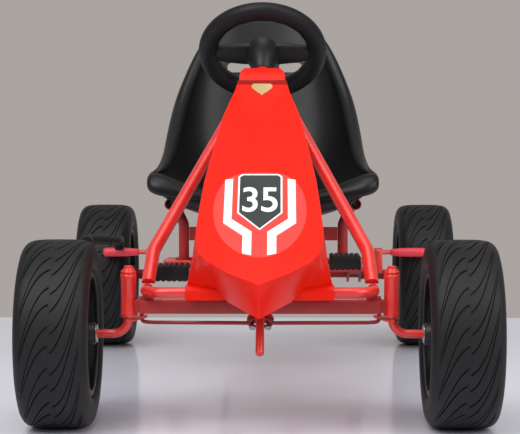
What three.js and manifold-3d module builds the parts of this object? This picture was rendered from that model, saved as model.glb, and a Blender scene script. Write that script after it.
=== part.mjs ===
// A child's pedal go-kart: tube frame, steered front wheels, chain drive, bucket seat.
// Millimetres, +Z up. The kart faces -Y, and its left side is +X.
// The origin is on the floor, under the middle of the kart.
import * as THREE from 'three';
import Module from 'manifold-3d';
import { mergeVertices } from 'three/addons/utils/BufferGeometryUtils.js';

const wasm = await Module();
wasm.setup();

// Overall layout
const wheelbase = 860;
const frontTrack = 552;
const rearTrack = 586;
const noseReach = 175;
const wheelRadius = 130;
const seatGap = 0.3; // between pieces that touch
const cutOverrun = 40; // how far a cutting tool reaches past what it cuts

const tyre = {
  width: 99,
  boreRadius: 88.4,
  beadWidth: 90,
  crownWidth: 33,
  sides: 32,
  // outline from bead to crown: share of half the width, share of the section's height
  widthShares: [0.965, 1, 0.965, 0.84, 0.6],
  heightShares: [0.18, 0.46, 0.72, 0.9, 0.98],
};
const rim = {
  wall: 3.3,
  webOffset: 14,
  webThickness: 4,
  hubLength: 71,
  hubRadius: 15,
  hubNose: 22,
  sides: 16,
  windows: 5,
  windowInnerRadius: 30,
  windowOuterRadius: 74,
  windowShare: 0.62,
};
const hubCap = { radius: 24, wall: 2, depth: 15, domeDepth: 4, sides: 12 };

const kingpin = {
  inset: 95, // from the wheel's middle plane
  radius: 6,
  sleeveRadius: 11.2,
  sleeveBottom: 152,
  sleeveTop: 212,
  capRadius: 10.6,
  capHeight: 7,
  capNutRadius: 6,
  capNutHeight: 3.4,
};
const stub = { bendRadius: 22, nutRadius: 9.5, nutLength: 7, washerRadius: 13, washerThickness: 2.4 };
const arm = { reach: 40, inset: 15, thickness: 4, width: 18, eyeRadius: 8, drop: 1.6 };
const runningGap = 0.4; // round a shaft that turns

const beam = { halfLength: 165, depth: 20, centreY: -8, bottom: 158.7, height: 17.8, endDepth: 15, endLength: 30 };
const hoop = { radius: 8, halfWidth: 156, frontY: -42, rearY: 12, z: 190, bendRadius: 32 };
const pad = { length: 20, depth: 12 };
const stay = { radius: 9.5, topX: 19, topY: 325, topZ: 478, kneeX: 150, kneeY: 50, kneeZ: 240 };
const stayFoot = { x: 154, y: 4, z: 197, bendRadius: 60 };

const column = { footY: 4, footZ: 150, angle: THREE.MathUtils.degToRad(46), radius: 6, tail: 62 };
const steeringWheel = { distance: 525, radius: 101, gripRadius: 14, gripSides: 8, sides: 26 };
const spoke = { width: 30, thickness: 12, bossRadius: 27, bossDepth: 34, bossNeck: 18 };
const horn = { radius: 21, height: 8, inset: 3 };
const head = { distance: 440, length: 45, radius: 13 };
const pitman = { distance: 22, reach: 28, spread: 11, thickness: 4, collarRadius: 10, eyeRadius: 8 };
const rodBolt = { radius: 2.5, headRadius: 5, headHeight: 3.4 };
const tieRod = { radius: 2.8, eyeThickness: 4, eyeWall: 2.8, slotGap: 0.4, lift: 2.6, fall: 3.8, kink: 16 };
// where the bolt goes in its eye as the wheel turns: shares of the pitman's reach, inwards and across
const slotShares = [[0.165, -0.307], [0.02, -0.115], [0, 0.09], [0.105, 0.135]];

const rail = { x: 50, z: 172, radius: 11, wall: 1.6, rearInset: 28 };
const crossTube = { lead: 48, radius: 8, halfLength: 172 };
const hanger = { inset: 7, width: 26, ear: 4, web: 4, eyeRadius: 14 };
const axle = { radius: 6, nutLength: 7.6, spacerRadius: 9 };

const seatBar = { y: 490, depth: 40, halfLength: 165, thickness: 6 };
const post = { x: 131, radius: 8.5, flangeRadius: 14, flangeThickness: 3, kneeZ: 248, topLean: 17 };
const tiePlate = { bottom: 221, height: 22, thickness: 6 };
const seatRail = { x: 150, z: 284, radius: 9, wall: 1.6, frontY: 424, rearY: 690 };
const seat = {
  frontY: 415,
  backY: 800,
  panZ: 256,
  topZ: 615,
  halfWidth: 180,
  wall: 9,
  flatness: 1.15,
  across: 14,
};

const crank = { y: 210, z: 203, throw: 88, armX: 91, end: 153, radius: 6, bendRadius: 13 };
const bracket = { radius: 14, halfLength: 60, footDepth: 30, footWidth: 16 };
const pedal = {
  inner: 104,
  outer: 151,
  depth: 58,
  thickness: 22,
  ridges: 6,
  ridgeHeight: 2,
  ridgeShare: 0.28,
  slotShare: 0.7,
  slotOffset: 19,
  slotDepth: 12,
};
const drive = {
  x: 72,
  pitch: 12.7,
  frontTeeth: 22,
  rearTeeth: 16,
  links: 122,
  plate: 1.4,
  plateHalf: 4.6,
  gauge: 6,
};
const roller = { radius: 3.2 };
const sprocket = {
  thickness: 3,
  bossRadius: 13,
  bossLength: 10,
  toothHeight: 2.6,
  rootShare: 0.27,
  tipShare: 0.11,
  holes: 5,
  holeShare: 0.34,
};
const guard = {
  inner: 78.4,
  thickness: 2.4,
  margin: 9,
  rim: 11,
  rearY: 462,
  standoffs: 2,
  standoffRadius: 5,
  standoffY: 300,
  standoffPitch: 130,
};

const brake = {
  lead: 145, // ahead of the rear axle
  sleeveLead: 138,
  sleeveZ: 182,
  rodRadius: 4,
  armX: 203,
  armWidth: 14,
  armRound: 8,
  bracketWidth: 12,
  bracketWall: 4,
  sleeveLip: 1.6,
};
const sleeve = { radius: 8, inner: 225, outer: 287, taper: 20 };
const lever = {
  x: 259,
  gripX: 300,
  gripLead: 300, // ahead of the rear axle
  gripZ: 215,
  drop: 10,
  radius: 8,
  stemWidth: 16,
  lead: 34,
  bendRadius: 40,
};
const hood = {
  topY: 297,
  topZ: 481.8,
  noseZ: 215,
  creaseHalf: 84.5,
  baseHalf: 100.8,
  baseZ: 176,
  apronZ: 181,
  wall: 3,
  sharpestShare: 0.6,
  capOverlap: 8,
  groove: 2,
  capY: 312,
  capZ: 498,
  capRearY: 318,
  capRearZ: 501,
  cheekDrop: 9,
  capInset: 1,
};

// Places that follow from the sizes above
const axleZ = wheelRadius * Math.cos(Math.PI / tyre.sides);
const frontAxleY = -(wheelbase + wheelRadius - noseReach) / 2;
const rearAxleY = frontAxleY + wheelbase;
const kingpinX = frontTrack / 2 - kingpin.inset;
const beamTop = beam.bottom + beam.height;
const columnDirection = new THREE.Vector3(0, Math.cos(column.angle), Math.sin(column.angle));
const acrossColumn = new THREE.Vector3(0, Math.sin(column.angle), -Math.cos(column.angle));
const seatBarBottom = rail.z + rail.radius + seatGap;
const seatBarTop = seatBarBottom + seatBar.thickness;
const railRearY = wheelbase - rail.rearInset;
const crossTubeY = wheelbase - crossTube.lead;
const hangerX = crossTube.halfLength - hanger.inset;
const brakeY = wheelbase - brake.lead;
const brakeSleeveY = wheelbase - brake.sleeveLead;
const leverGripY = wheelbase - lever.gripLead;
const crossTubeZ = rail.z - rail.radius - seatGap - crossTube.radius;
const brakePivotZ = rail.z - rail.radius - seatGap - brake.bracketWall - brake.rodRadius;

const along = {
  x: new THREE.Vector3(1, 0, 0),
  y: new THREE.Vector3(0, 1, 0),
  z: new THREE.Vector3(0, 0, 1),
};
const finishes = {
  frame: new THREE.MeshStandardMaterial({ color: 0xd42a24, roughness: 0.35, metalness: 0.1 }),
  hood: new THREE.MeshStandardMaterial({ color: 0xf02a14, roughness: 0.25, metalness: 0 }),
  black: new THREE.MeshStandardMaterial({ color: 0x1c1c1e, roughness: 0.45, metalness: 0 }),
  tyre: new THREE.MeshStandardMaterial({ color: 0x29292b, roughness: 0.8, metalness: 0 }),
  steel: new THREE.MeshStandardMaterial({ color: 0xb9bcc0, roughness: 0.3, metalness: 1 }),
  sleeve: new THREE.MeshStandardMaterial({ color: 0xf03a44, roughness: 0.5, metalness: 0 }),
};

const kart = new THREE.Group();

// A point of the kart: y is measured backwards from the front axle.
function at(x, y, z) {
  return new THREE.Vector3(x, frontAxleY + y, z);
}

// A point on the steering column's axis, and one beside it.
function onColumn(distance, sideways = 0, across = 0) {
  const point = at(sideways, column.footY, column.footZ);
  return point.addScaledVector(columnDirection, distance).addScaledVector(acrossColumn, across);
}

// A closed triangle mesh with shared corners, its faces pointing out.
function closed(geometry) {
  const bare = geometry.clone();
  bare.deleteAttribute('normal');
  bare.deleteAttribute('uv');
  const merged = mergeVertices(bare, 1e-3);
  const index = Array.from(merged.index.array);
  const place = merged.attributes.position;
  const corners = [new THREE.Vector3(), new THREE.Vector3(), new THREE.Vector3()];
  const kept = [];
  let volume = 0;
  for (let face = 0; face < index.length; face += 3) {
    const triangle = index.slice(face, face + 3);
    if (new Set(triangle).size < 3) continue;
    corners.forEach((corner, i) => corner.fromBufferAttribute(place, triangle[i]));
    volume += corners[0].dot(corners[1].clone().cross(corners[2]));
    kept.push(...triangle);
  }
  merged.setIndex(volume > 0 ? kept : kept.reverse());
  return merged;
}

function solidOf(geometry) {
  const mesh = closed(geometry);
  return new wasm.Manifold(new wasm.Mesh({
    numProp: 3,
    vertProperties: mesh.attributes.position.array,
    triVerts: Uint32Array.from(mesh.index.array),
  }));
}

function geometryOf(solid) {
  const mesh = solid.getMesh();
  const geometry = new THREE.BufferGeometry();
  geometry.setAttribute('position', new THREE.BufferAttribute(mesh.vertProperties, 3));
  geometry.setIndex(new THREE.BufferAttribute(mesh.triVerts, 1));
  return geometry;
}

function joined(...geometries) {
  return geometryOf(geometries.map(solidOf).reduce((sum, next) => sum.add(next)));
}

function cut(geometry, ...tools) {
  return geometryOf(tools.map(solidOf).reduce((rest, tool) => rest.subtract(tool), solidOf(geometry)));
}

function common(geometry, other) {
  return geometryOf(solidOf(geometry).intersect(solidOf(other)));
}

// Puts a shape drawn on its own axes at an origin, its x and y along the given directions.
function placed(geometry, origin, xAxis, yAxis) {
  const zAxis = xAxis.clone().cross(yAxis);
  const matrix = new THREE.Matrix4().makeBasis(xAxis, yAxis, zAxis).setPosition(origin);
  return geometry.applyMatrix4(matrix);
}

// A direction square to the given one.
function squareTo(direction) {
  const other = Math.abs(direction.x) > Math.SQRT1_2 ? along.z : along.x;
  return other.clone().cross(direction).normalize();
}

// A turned shape: pairs of distance along the axis and radius, round a direction.
function turned(profile, origin, direction, sides) {
  const points = profile.map(([distance, radius]) => new THREE.Vector2(radius, distance));
  const closes = profile[0][1] === 0 && profile[profile.length - 1][1] === 0;
  if (!closes) points.push(points[0].clone());
  const shape = new THREE.LatheGeometry(points, sides, Math.PI / sides);
  const side = squareTo(direction);
  return placed(shape, origin, side, direction);
}

function rod(from, to, radius, sides = 12) {
  const length = from.distanceTo(to);
  const direction = to.clone().sub(from).normalize();
  return turned([[0, 0], [0, radius], [length, radius], [length, 0]], from, direction, sides);
}

function pipe(from, to, radius, bore, sides = 12) {
  const length = from.distanceTo(to);
  const direction = to.clone().sub(from).normalize();
  const section = [[0, bore], [0, radius], [length, radius], [length, bore]];
  return turned(section, from, direction, sides);
}

function box(low, high) {
  const size = high.clone().sub(low);
  const middle = low.clone().add(high).divideScalar(2);
  return new THREE.BoxGeometry(size.x, size.y, size.z).translate(middle.x, middle.y, middle.z);
}

// A flat outline given thickness: origin, the outline's two directions, and its depth.
function plate(outline, origin, xAxis, yAxis, thickness) {
  const shape = new THREE.Shape(outline.map(([x, y]) => new THREE.Vector2(x, y)));
  const slab = new THREE.ExtrudeGeometry(shape, { depth: thickness, bevelEnabled: false, steps: 1 });
  return placed(slab, origin, xAxis, yAxis);
}

// A tube's route: straight runs with round bends, its rings standing only where it bends.
class Route extends THREE.Curve {
  constructor(corners, bendRadius, bendSteps) {
    super();
    this.knots = [corners[0]];
    for (let i = 1; i < corners.length - 1; i += 1) {
      const before = corners[i - 1].clone().sub(corners[i]);
      const after = corners[i + 1].clone().sub(corners[i]);
      const half = before.angleTo(after) / 2;
      const room = Math.min(before.length(), after.length()) / 2;
      const trim = Math.min(bendRadius / Math.tan(half), room);
      const start = corners[i].clone().addScaledVector(before.normalize(), trim);
      const end = corners[i].clone().addScaledVector(after.normalize(), trim);
      const bend = new THREE.QuadraticBezierCurve3(start, corners[i], end);
      this.knots.push(...bend.getPoints(bendSteps));
    }
    this.knots.push(corners[corners.length - 1]);
    this.steps = this.knots.length - 1;
  }

  getPoint(share, target = new THREE.Vector3()) {
    const place = share * this.steps;
    const start = Math.min(Math.floor(place), this.steps - 1);
    return target.lerpVectors(this.knots[start], this.knots[start + 1], place - start);
  }

  getPointAt(share, target) {
    return this.getPoint(share, target);
  }

  getTangentAt(share, target = new THREE.Vector3()) {
    const knot = Math.round(share * this.steps);
    const before = this.knots[Math.max(knot - 1, 0)];
    const after = this.knots[Math.min(knot + 1, this.steps)];
    return target.subVectors(after, before).normalize();
  }
}

function bentRod(corners, bendRadius, radius, sides = 10, bendSteps = 3) {
  const route = new Route(corners, bendRadius, bendSteps);
  const section = new THREE.Shape();
  for (let i = 0; i < sides; i += 1) {
    const angle = ((i + 0.5) / sides) * 2 * Math.PI;
    section[i ? 'lineTo' : 'moveTo'](radius * Math.cos(angle), radius * Math.sin(angle));
  }
  return new THREE.ExtrudeGeometry(section, { extrudePath: route, steps: route.steps });
}

function add(name, geometry, material) {
  const mesh = new THREE.Mesh(closed(geometry), material);
  mesh.geometry.computeVertexNormals();
  mesh.name = name;
  kart.add(mesh);
}

// The two sides of the kart.
const sides = [{ name: 'left', sign: 1 }, { name: 'right', sign: -1 }];

// Wheels. Their sections run outwards from the wheel's middle plane.
function tyreShape(centre, outward) {
  const half = tyre.width / 2;
  const height = wheelRadius - tyre.boreRadius;
  const shoulder = tyre.widthShares.map((share, i) => [
    half * share, tyre.boreRadius + height * tyre.heightShares[i],
  ]);
  const outer = [[tyre.beadWidth / 2, tyre.boreRadius], ...shoulder, [tyre.crownWidth / 2, wheelRadius]];
  const inner = outer.map(([distance, radius]) => [-distance, radius]).reverse();
  return turned([...inner.reverse(), ...outer.reverse()], centre, outward, tyre.sides);
}

function rimShape(centre, outward) {
  const half = tyre.beadWidth / 2;
  const outer = tyre.boreRadius - seatGap * 2;
  const barrel = outer - rim.wall;
  const face = rim.webOffset + rim.webThickness;
  const bore = kingpin.radius + runningGap;
  const inward = rim.hubNose - rim.hubLength;
  const wheel = turned([
    [inward, bore], [rim.hubNose, bore], [rim.hubNose, rim.hubRadius], [face, rim.hubRadius],
    [face, barrel], [half, barrel], [half, outer], [-half, outer], [-half, barrel],
    [rim.webOffset, barrel], [rim.webOffset, rim.hubRadius], [inward, rim.hubRadius],
  ], centre, outward, rim.sides);
  const side = squareTo(outward);
  const step = (2 * Math.PI) / rim.windows;
  const windows = Array.from({ length: rim.windows }, (_, i) => {
    const from = i * step;
    const to = from + step * rim.windowShare;
    const corner = (radius, angle) => [radius * Math.cos(angle), radius * Math.sin(angle)];
    const outline = [
      corner(rim.windowInnerRadius, (from + to) / 2), corner(rim.windowOuterRadius, from),
      corner(rim.windowOuterRadius, (from + to) / 2), corner(rim.windowOuterRadius, to),
    ];
    const start = centre.clone().addScaledVector(outward, rim.webOffset - rim.webThickness);
    return plate(outline, start, side, outward.clone().cross(side), rim.webThickness * 3);
  });
  return cut(wheel, ...windows);
}

function hubCapShape(centre, outward) {
  const seat = centre.clone().addScaledVector(outward, rim.webOffset + rim.webThickness + seatGap);
  const inner = hubCap.radius - hubCap.wall;
  const rise = hubCap.depth;
  return turned([
    [rise - hubCap.wall, 0], [rise - hubCap.wall, inner], [0, inner], [0, hubCap.radius],
    [rise - hubCap.domeDepth, hubCap.radius], [rise, inner - hubCap.domeDepth], [rise, 0],
  ], seat, outward, hubCap.sides);
}

function addWheel(end, side, centre) {
  const outward = along.x.clone().multiplyScalar(side.sign);
  add(`${end}_tyre_${side.name}`, tyreShape(centre, outward), finishes.tyre);
  add(`${end}_rim_${side.name}`, rimShape(centre, outward), finishes.black);
  add(`${end}_hub_cap_${side.name}`, hubCapShape(centre, outward), finishes.black);
}

for (const side of sides) {
  addWheel('front', side, at((side.sign * frontTrack) / 2, 0, axleZ));
  addWheel('rear', side, at((side.sign * rearTrack) / 2, wheelbase, axleZ));
}

// Front axle: a beam with a cupped end at each kingpin sleeve, and pads that carry the hoop.
function frontBeam() {
  const front = beam.centreY - beam.depth / 2;
  const rear = beam.centreY + beam.depth / 2;
  const bar = box(at(-beam.halfLength, front, beam.bottom), at(beam.halfLength, rear, beamTop));
  const end = beam.endDepth / 2;
  const ends = sides.map(({ sign }) => box(at(sign * kingpinX, -end, beam.bottom),
    at(sign * (beam.halfLength - beam.endLength), end, beamTop)));
  const padTop = hoop.z - hoop.radius - seatGap;
  const pads = sides.map(({ sign }) => box(
    at(sign * hoop.halfWidth - pad.length / 2, rear - pad.depth, beamTop - beam.height / 2),
    at(sign * hoop.halfWidth + pad.length / 2, rear, padTop),
  ));
  const cups = sides.map(({ sign }) => rod(
    at(sign * kingpinX, 0, beam.bottom - cutOverrun),
    at(sign * kingpinX, 0, beamTop + cutOverrun),
    kingpin.sleeveRadius + seatGap,
    16,
  ));
  return cut(joined(bar, ...ends, ...pads), ...cups);
}
add('front_axle_beam', frontBeam(), finishes.frame);

for (const { name, sign } of sides) {
  const bottom = at(sign * kingpinX, 0, kingpin.sleeveBottom);
  const top = at(sign * kingpinX, 0, kingpin.sleeveTop);
  const bore = kingpin.radius + runningGap;
  add(`kingpin_sleeve_${name}`, pipe(bottom, top, kingpin.sleeveRadius, bore, 16), finishes.frame);
}

add('front_hoop', bentRod([
  at(-hoop.halfWidth, hoop.rearY, hoop.z), at(-hoop.halfWidth, hoop.frontY, hoop.z),
  at(hoop.halfWidth, hoop.frontY, hoop.z), at(hoop.halfWidth, hoop.rearY, hoop.z),
], hoop.bendRadius, hoop.radius), finishes.frame);

// Stays: from the steering head down and out to the ends of the hoop.
function stayShape(sign) {
  const tube = bentRod([
    at(sign * stay.topX, stay.topY, stay.topZ),
    at(sign * stay.kneeX, stay.kneeY, stay.kneeZ),
    at(sign * stayFoot.x, stayFoot.y, stayFoot.z),
  ], stayFoot.bendRadius, stay.radius);
  const headCut = rod(onColumn(head.distance - cutOverrun), onColumn(head.distance + head.length + cutOverrun),
    head.radius + seatGap, 16);
  const seat = hoop.z + hoop.radius + seatGap;
  const below = box(
    at(sign * stayFoot.x - cutOverrun, stayFoot.y - cutOverrun, seat - cutOverrun),
    at(sign * stayFoot.x + cutOverrun, stayFoot.y + cutOverrun, seat),
  );
  return cut(tube, headCut, below);
}
for (const { name, sign } of sides) add(`stay_${name}`, stayShape(sign), finishes.frame);

add('steering_head', pipe(onColumn(head.distance), onColumn(head.distance + head.length), head.radius,
  column.radius + runningGap, 16), finishes.frame);

// Main frame behind the beam.
const beamRear = beam.centreY + beam.depth / 2 + seatGap;
for (const { name, sign } of sides) {
  const front = at(sign * rail.x, beamRear, rail.z);
  const rear = at(sign * rail.x, railRearY, rail.z);
  add(`frame_rail_${name}`, pipe(front, rear, rail.radius, rail.radius - rail.wall), finishes.frame);
}
add('rear_cross_tube', rod(at(-crossTube.halfLength, crossTubeY, crossTubeZ),
  at(crossTube.halfLength, crossTubeY, crossTubeZ), crossTube.radius), finishes.frame);

// Axle hangers: two ears and a web, bent round the end of the cross tube.
function hangerShape(sign) {
  const low = sign * hangerX - hanger.width / 2;
  const eye = at(low, wheelbase, axleZ);
  const top = at(low, crossTubeY, crossTubeZ);
  const outline = [];
  const steps = 8;
  const lean = Math.atan2(crossTubeZ - axleZ, crossTubeY - wheelbase);
  for (let i = 0; i <= steps; i += 1) {
    const angle = lean + Math.PI / 2 + (Math.PI * i) / steps;
    outline.push([eye.y + hanger.eyeRadius * Math.cos(angle), eye.z + hanger.eyeRadius * Math.sin(angle)]);
  }
  const round = crossTube.radius + hanger.web;
  for (let i = 0; i <= steps; i += 1) {
    const angle = lean - Math.PI / 2 + (Math.PI * i) / steps;
    outline.push([top.y + round * Math.cos(angle), top.z + round * Math.sin(angle)]);
  }
  const body = plate(outline, new THREE.Vector3(low, 0, 0), along.y, along.z, hanger.width);
  const pocket = box(
    at(low + hanger.ear, crossTubeY + crossTube.radius + hanger.web, 0),
    at(low + hanger.width - hanger.ear, wheelbase + cutOverrun, crossTubeZ + cutOverrun),
  );
  const bore = rod(at(low - cutOverrun, wheelbase, axleZ), at(low + hanger.width + cutOverrun, wheelbase, axleZ),
    axle.radius + runningGap);
  const tube = rod(at(low - cutOverrun, crossTubeY, crossTubeZ),
    at(low + hanger.width + cutOverrun, crossTubeY, crossTubeZ), crossTube.radius + seatGap);
  return cut(body, pocket, bore, tube);
}
for (const { name, sign } of sides) add(`axle_hanger_${name}`, hangerShape(sign), finishes.frame);

// Seat frame: a cross bar on the rails, two posts, a plate between them and two seat rails.
add('seat_cross_bar', box(
  at(-seatBar.halfLength, seatBar.y - seatBar.depth / 2, seatBarBottom),
  at(seatBar.halfLength, seatBar.y + seatBar.depth / 2, seatBarTop),
), finishes.frame);
const railCentre = (sign, y) => at(sign * seatRail.x, y, seatRail.z);
const postRod = (sign, radius) => bentRod([
  at(sign * post.x, seatBar.y, seatBarTop + seatGap), at(sign * post.x, seatBar.y, post.kneeZ),
  at(sign * (post.x + post.topLean), seatBar.y, seatRail.z),
], post.topLean, radius);
for (const { name, sign } of sides) {
  const foot = seatBarTop + seatGap;
  const upright = postRod(sign, post.radius);
  const flange = rod(at(sign * post.x, seatBar.y, foot),
    at(sign * post.x, seatBar.y, foot + post.flangeThickness), post.flangeRadius);
  const railCut = rod(railCentre(sign, seatBar.y - cutOverrun), railCentre(sign, seatBar.y + cutOverrun),
    seatRail.radius + seatGap);
  const above = box(
    at(sign * seatRail.x - cutOverrun, seatBar.y - cutOverrun, seatRail.z),
    at(sign * seatRail.x + cutOverrun, seatBar.y + cutOverrun, seatRail.z + cutOverrun),
  );
  add(`seat_post_${name}`, cut(joined(upright, flange), railCut, above), finishes.frame);
  add(`seat_rail_${name}`, pipe(railCentre(sign, seatRail.frontY), railCentre(sign, seatRail.rearY),
    seatRail.radius, seatRail.radius - seatRail.wall), finishes.frame);
}
const tieEnd = post.x - post.radius - seatGap;
add('seat_tie_plate', box(
  at(-tieEnd, seatBar.y - tiePlate.thickness / 2, tiePlate.bottom),
  at(tieEnd, seatBar.y + tiePlate.thickness / 2, tiePlate.bottom + tiePlate.height),
), finishes.frame);

// Steering: the column with its pitman plate, the wheel and its cap, and the tie rods' bolts.
const pitmanUnder = pitman.distance - pitman.thickness;
function pitmanOutline() {
  const points = [];
  const steps = 6;
  for (let i = 0; i <= steps; i += 1) {
    const angle = Math.PI + (Math.PI * i) / steps;
    points.push([pitman.collarRadius * Math.cos(angle), pitman.collarRadius * Math.sin(angle)]);
  }
  for (const [x, from] of [[pitman.spread, 0], [-pitman.spread, Math.PI / 2]]) {
    for (let i = 0; i <= steps / 2; i += 1) {
      const angle = from + (Math.PI * i) / steps;
      points.push([x + pitman.eyeRadius * Math.cos(angle), pitman.reach + pitman.eyeRadius * Math.sin(angle)]);
    }
  }
  return points;
}

function columnShape() {
  const shaft = rod(onColumn(-column.tail), onColumn(steeringWheel.distance), column.radius);
  const start = onColumn(pitman.distance);
  const lug = plate(pitmanOutline(), start, along.x, acrossColumn, -pitman.thickness);
  const holes = sides.map(({ sign }) => rod(
    onColumn(pitman.distance - cutOverrun / 2, sign * pitman.spread, pitman.reach),
    onColumn(pitman.distance + cutOverrun / 2, sign * pitman.spread, pitman.reach),
    rodBolt.radius + seatGap,
    8,
  ));
  return joined(shaft, cut(lug, ...holes));
}
add('steering_column', columnShape(), finishes.frame);

function steeringWheelShape() {
  const centre = onColumn(steeringWheel.distance);
  const ringRadius = steeringWheel.radius - steeringWheel.gripRadius;
  const section = Array.from({ length: steeringWheel.gripSides }, (_, i) => {
    const angle = (2 * Math.PI * i) / steeringWheel.gripSides;
    return [
      steeringWheel.gripRadius * Math.cos(angle),
      ringRadius + steeringWheel.gripRadius * Math.sin(angle),
    ];
  }).reverse();
  const ring = turned(section, centre, columnDirection, steeringWheel.sides);
  const boss = turned([
    [-spoke.bossDepth, 0], [-spoke.bossDepth, spoke.bossNeck], [-spoke.thickness, spoke.bossRadius],
    [spoke.thickness / 2, spoke.bossRadius], [spoke.thickness / 2, 0],
  ], centre, columnDirection, 16);
  const half = spoke.width / 2;
  const spokes = plate(
    [[-ringRadius, -half / 2], [0, -half], [ringRadius, -half / 2], [ringRadius, half / 2], [0, half],
      [-ringRadius, half / 2]],
    onColumn(steeringWheel.distance - spoke.thickness / 2), along.x, acrossColumn, -spoke.thickness,
  );
  const lower = plate(
    [[-half, 0], [half, 0], [half / 2, ringRadius], [-half / 2, ringRadius]],
    onColumn(steeringWheel.distance - spoke.thickness / 2), along.x, acrossColumn, -spoke.thickness,
  );
  const shaft = rod(onColumn(steeringWheel.distance - spoke.bossDepth - cutOverrun),
    onColumn(steeringWheel.distance + seatGap), column.radius + seatGap);
  return cut(joined(ring, boss, spokes, lower), shaft);
}
add('steering_wheel', steeringWheelShape(), finishes.black);
add('steering_wheel_cap', turned([
  [0, 0], [0, horn.radius], [horn.height - horn.inset, horn.radius], [horn.height, horn.radius - horn.inset],
  [horn.height, 0],
], onColumn(steeringWheel.distance + spoke.thickness / 2 + seatGap), columnDirection, 16), finishes.black);

for (const { name, sign } of sides) {
  const low = pitmanUnder - seatGap - tieRod.lift - tieRod.eyeThickness - tieRod.fall - rodBolt.headHeight;
  const high = pitman.distance + seatGap;
  add(`tie_rod_bolt_${name}`, joined(
    rod(onColumn(low, sign * pitman.spread, pitman.reach),
      onColumn(high + rodBolt.headHeight, sign * pitman.spread, pitman.reach), rodBolt.radius, 8),
    rod(onColumn(low, sign * pitman.spread, pitman.reach),
      onColumn(low + rodBolt.headHeight, sign * pitman.spread, pitman.reach), rodBolt.headRadius, 6),
    rod(onColumn(high, sign * pitman.spread, pitman.reach),
      onColumn(high + rodBolt.headHeight, sign * pitman.spread, pitman.reach), rodBolt.headRadius, 6),
  ), finishes.steel);
}

// Knuckles: a bent stub axle with its steering arm and outer nut, and the kingpin's cap.
const armZ = kingpin.sleeveBottom - arm.drop - arm.thickness;
function stubShape(sign) {
  const wheelX = frontTrack / 2;
  const nutStart = wheelX + rim.hubNose + runningGap;
  const pin = bentRod([
    at(sign * kingpinX, 0, kingpin.sleeveTop + seatGap),
    at(sign * kingpinX, 0, axleZ),
    at(sign * (nutStart + stub.nutLength / 2), 0, axleZ),
  ], stub.bendRadius, kingpin.radius);
  const nut = rod(at(sign * nutStart, 0, axleZ), at(sign * (nutStart + stub.nutLength), 0, axleZ),
    stub.nutRadius, 6);
  const hubInner = wheelX + rim.hubNose - rim.hubLength - runningGap;
  const washer = rod(at(sign * (hubInner - stub.washerThickness), 0, axleZ), at(sign * hubInner, 0, axleZ),
    stub.washerRadius);
  const holeX = kingpinX - arm.inset;
  const direction = new THREE.Vector2(-arm.inset, arm.reach).normalize();
  const across = new THREE.Vector2(-direction.y, direction.x);
  const half = arm.width / 2;
  const outline = [];
  const steps = 6;
  for (let i = 0; i <= steps; i += 1) {
    const angle = (Math.PI * i) / steps;
    const side = -arm.eyeRadius * Math.cos(angle);
    const reach = arm.eyeRadius * Math.sin(angle);
    outline.push([holeX - across.x * side + direction.x * reach, arm.reach - across.y * side + direction.y * reach]);
  }
  outline.push([kingpinX + across.x * -half, across.y * -half]);
  outline.push([kingpinX - direction.x * half, -direction.y * half]);
  outline.push([kingpinX + across.x * half, across.y * half]);
  const mirrored = outline.map(([x, y]) => [sign * x, frontAxleY + y]);
  const lever = plate(sign > 0 ? mirrored.reverse() : mirrored,
    new THREE.Vector3(0, 0, armZ), along.x, along.y, arm.thickness);
  const hole = rod(at(sign * holeX, arm.reach, armZ - cutOverrun), at(sign * holeX, arm.reach, armZ + cutOverrun),
    tieRod.radius + runningGap, 8);
  return joined(pin, nut, washer, cut(lever, hole));
}
for (const { name, sign } of sides) {
  add(`stub_axle_${name}`, stubShape(sign), finishes.frame);
  const low = kingpin.sleeveTop + seatGap * 2;
  add(`kingpin_cap_${name}`, turned([
    [0, 0], [0, kingpin.capRadius], [kingpin.capHeight / 2, kingpin.capRadius],
    [kingpin.capHeight, kingpin.capNutRadius], [kingpin.capHeight + kingpin.capNutHeight, kingpin.capNutRadius],
    [kingpin.capHeight + kingpin.capNutHeight, 0],
  ], at(sign * kingpinX, 0, low), along.z, 16), finishes.frame);
}

// Tie rods: an eye at the pitman bolt, a straight rod, and a bent end up through the arm.
function tieRodShape(sign) {
  const bolt = pitmanUnder - seatGap - tieRod.lift - tieRod.eyeThickness;
  const slotted = (radius, from, to) => wasm.Manifold.hull(slotShares.map(([inwards, across]) => {
    const x = sign * (pitman.spread - inwards * pitman.reach);
    const reach = pitman.reach * (1 + across);
    return solidOf(rod(onColumn(from, x, reach), onColumn(to, x, reach), radius, 12));
  }));
  const slotRadius = rodBolt.radius + tieRod.slotGap;
  const eye = geometryOf(slotted(slotRadius + tieRod.eyeWall, bolt, bolt + tieRod.eyeThickness));
  const middle = onColumn(bolt + tieRod.eyeThickness / 2, sign * pitman.spread, pitman.reach);
  const holeX = kingpinX - arm.inset;
  const outer = at(sign * holeX, arm.reach, armZ - tieRod.radius - tieRod.lift);
  const bar = bentRod([
    middle,
    at(sign * (holeX - tieRod.kink), arm.reach, middle.z),
    outer,
    at(sign * holeX, arm.reach, armZ + arm.thickness + tieRod.lift),
  ], tieRod.radius * 2, tieRod.radius, 8, 3);
  const hole = geometryOf(slotted(slotRadius, bolt - cutOverrun / 2, bolt + cutOverrun / 2));
  return cut(joined(eye, bar), hole);
}
for (const { name, sign } of sides) add(`tie_rod_${name}`, tieRodShape(sign), finishes.frame);

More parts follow.
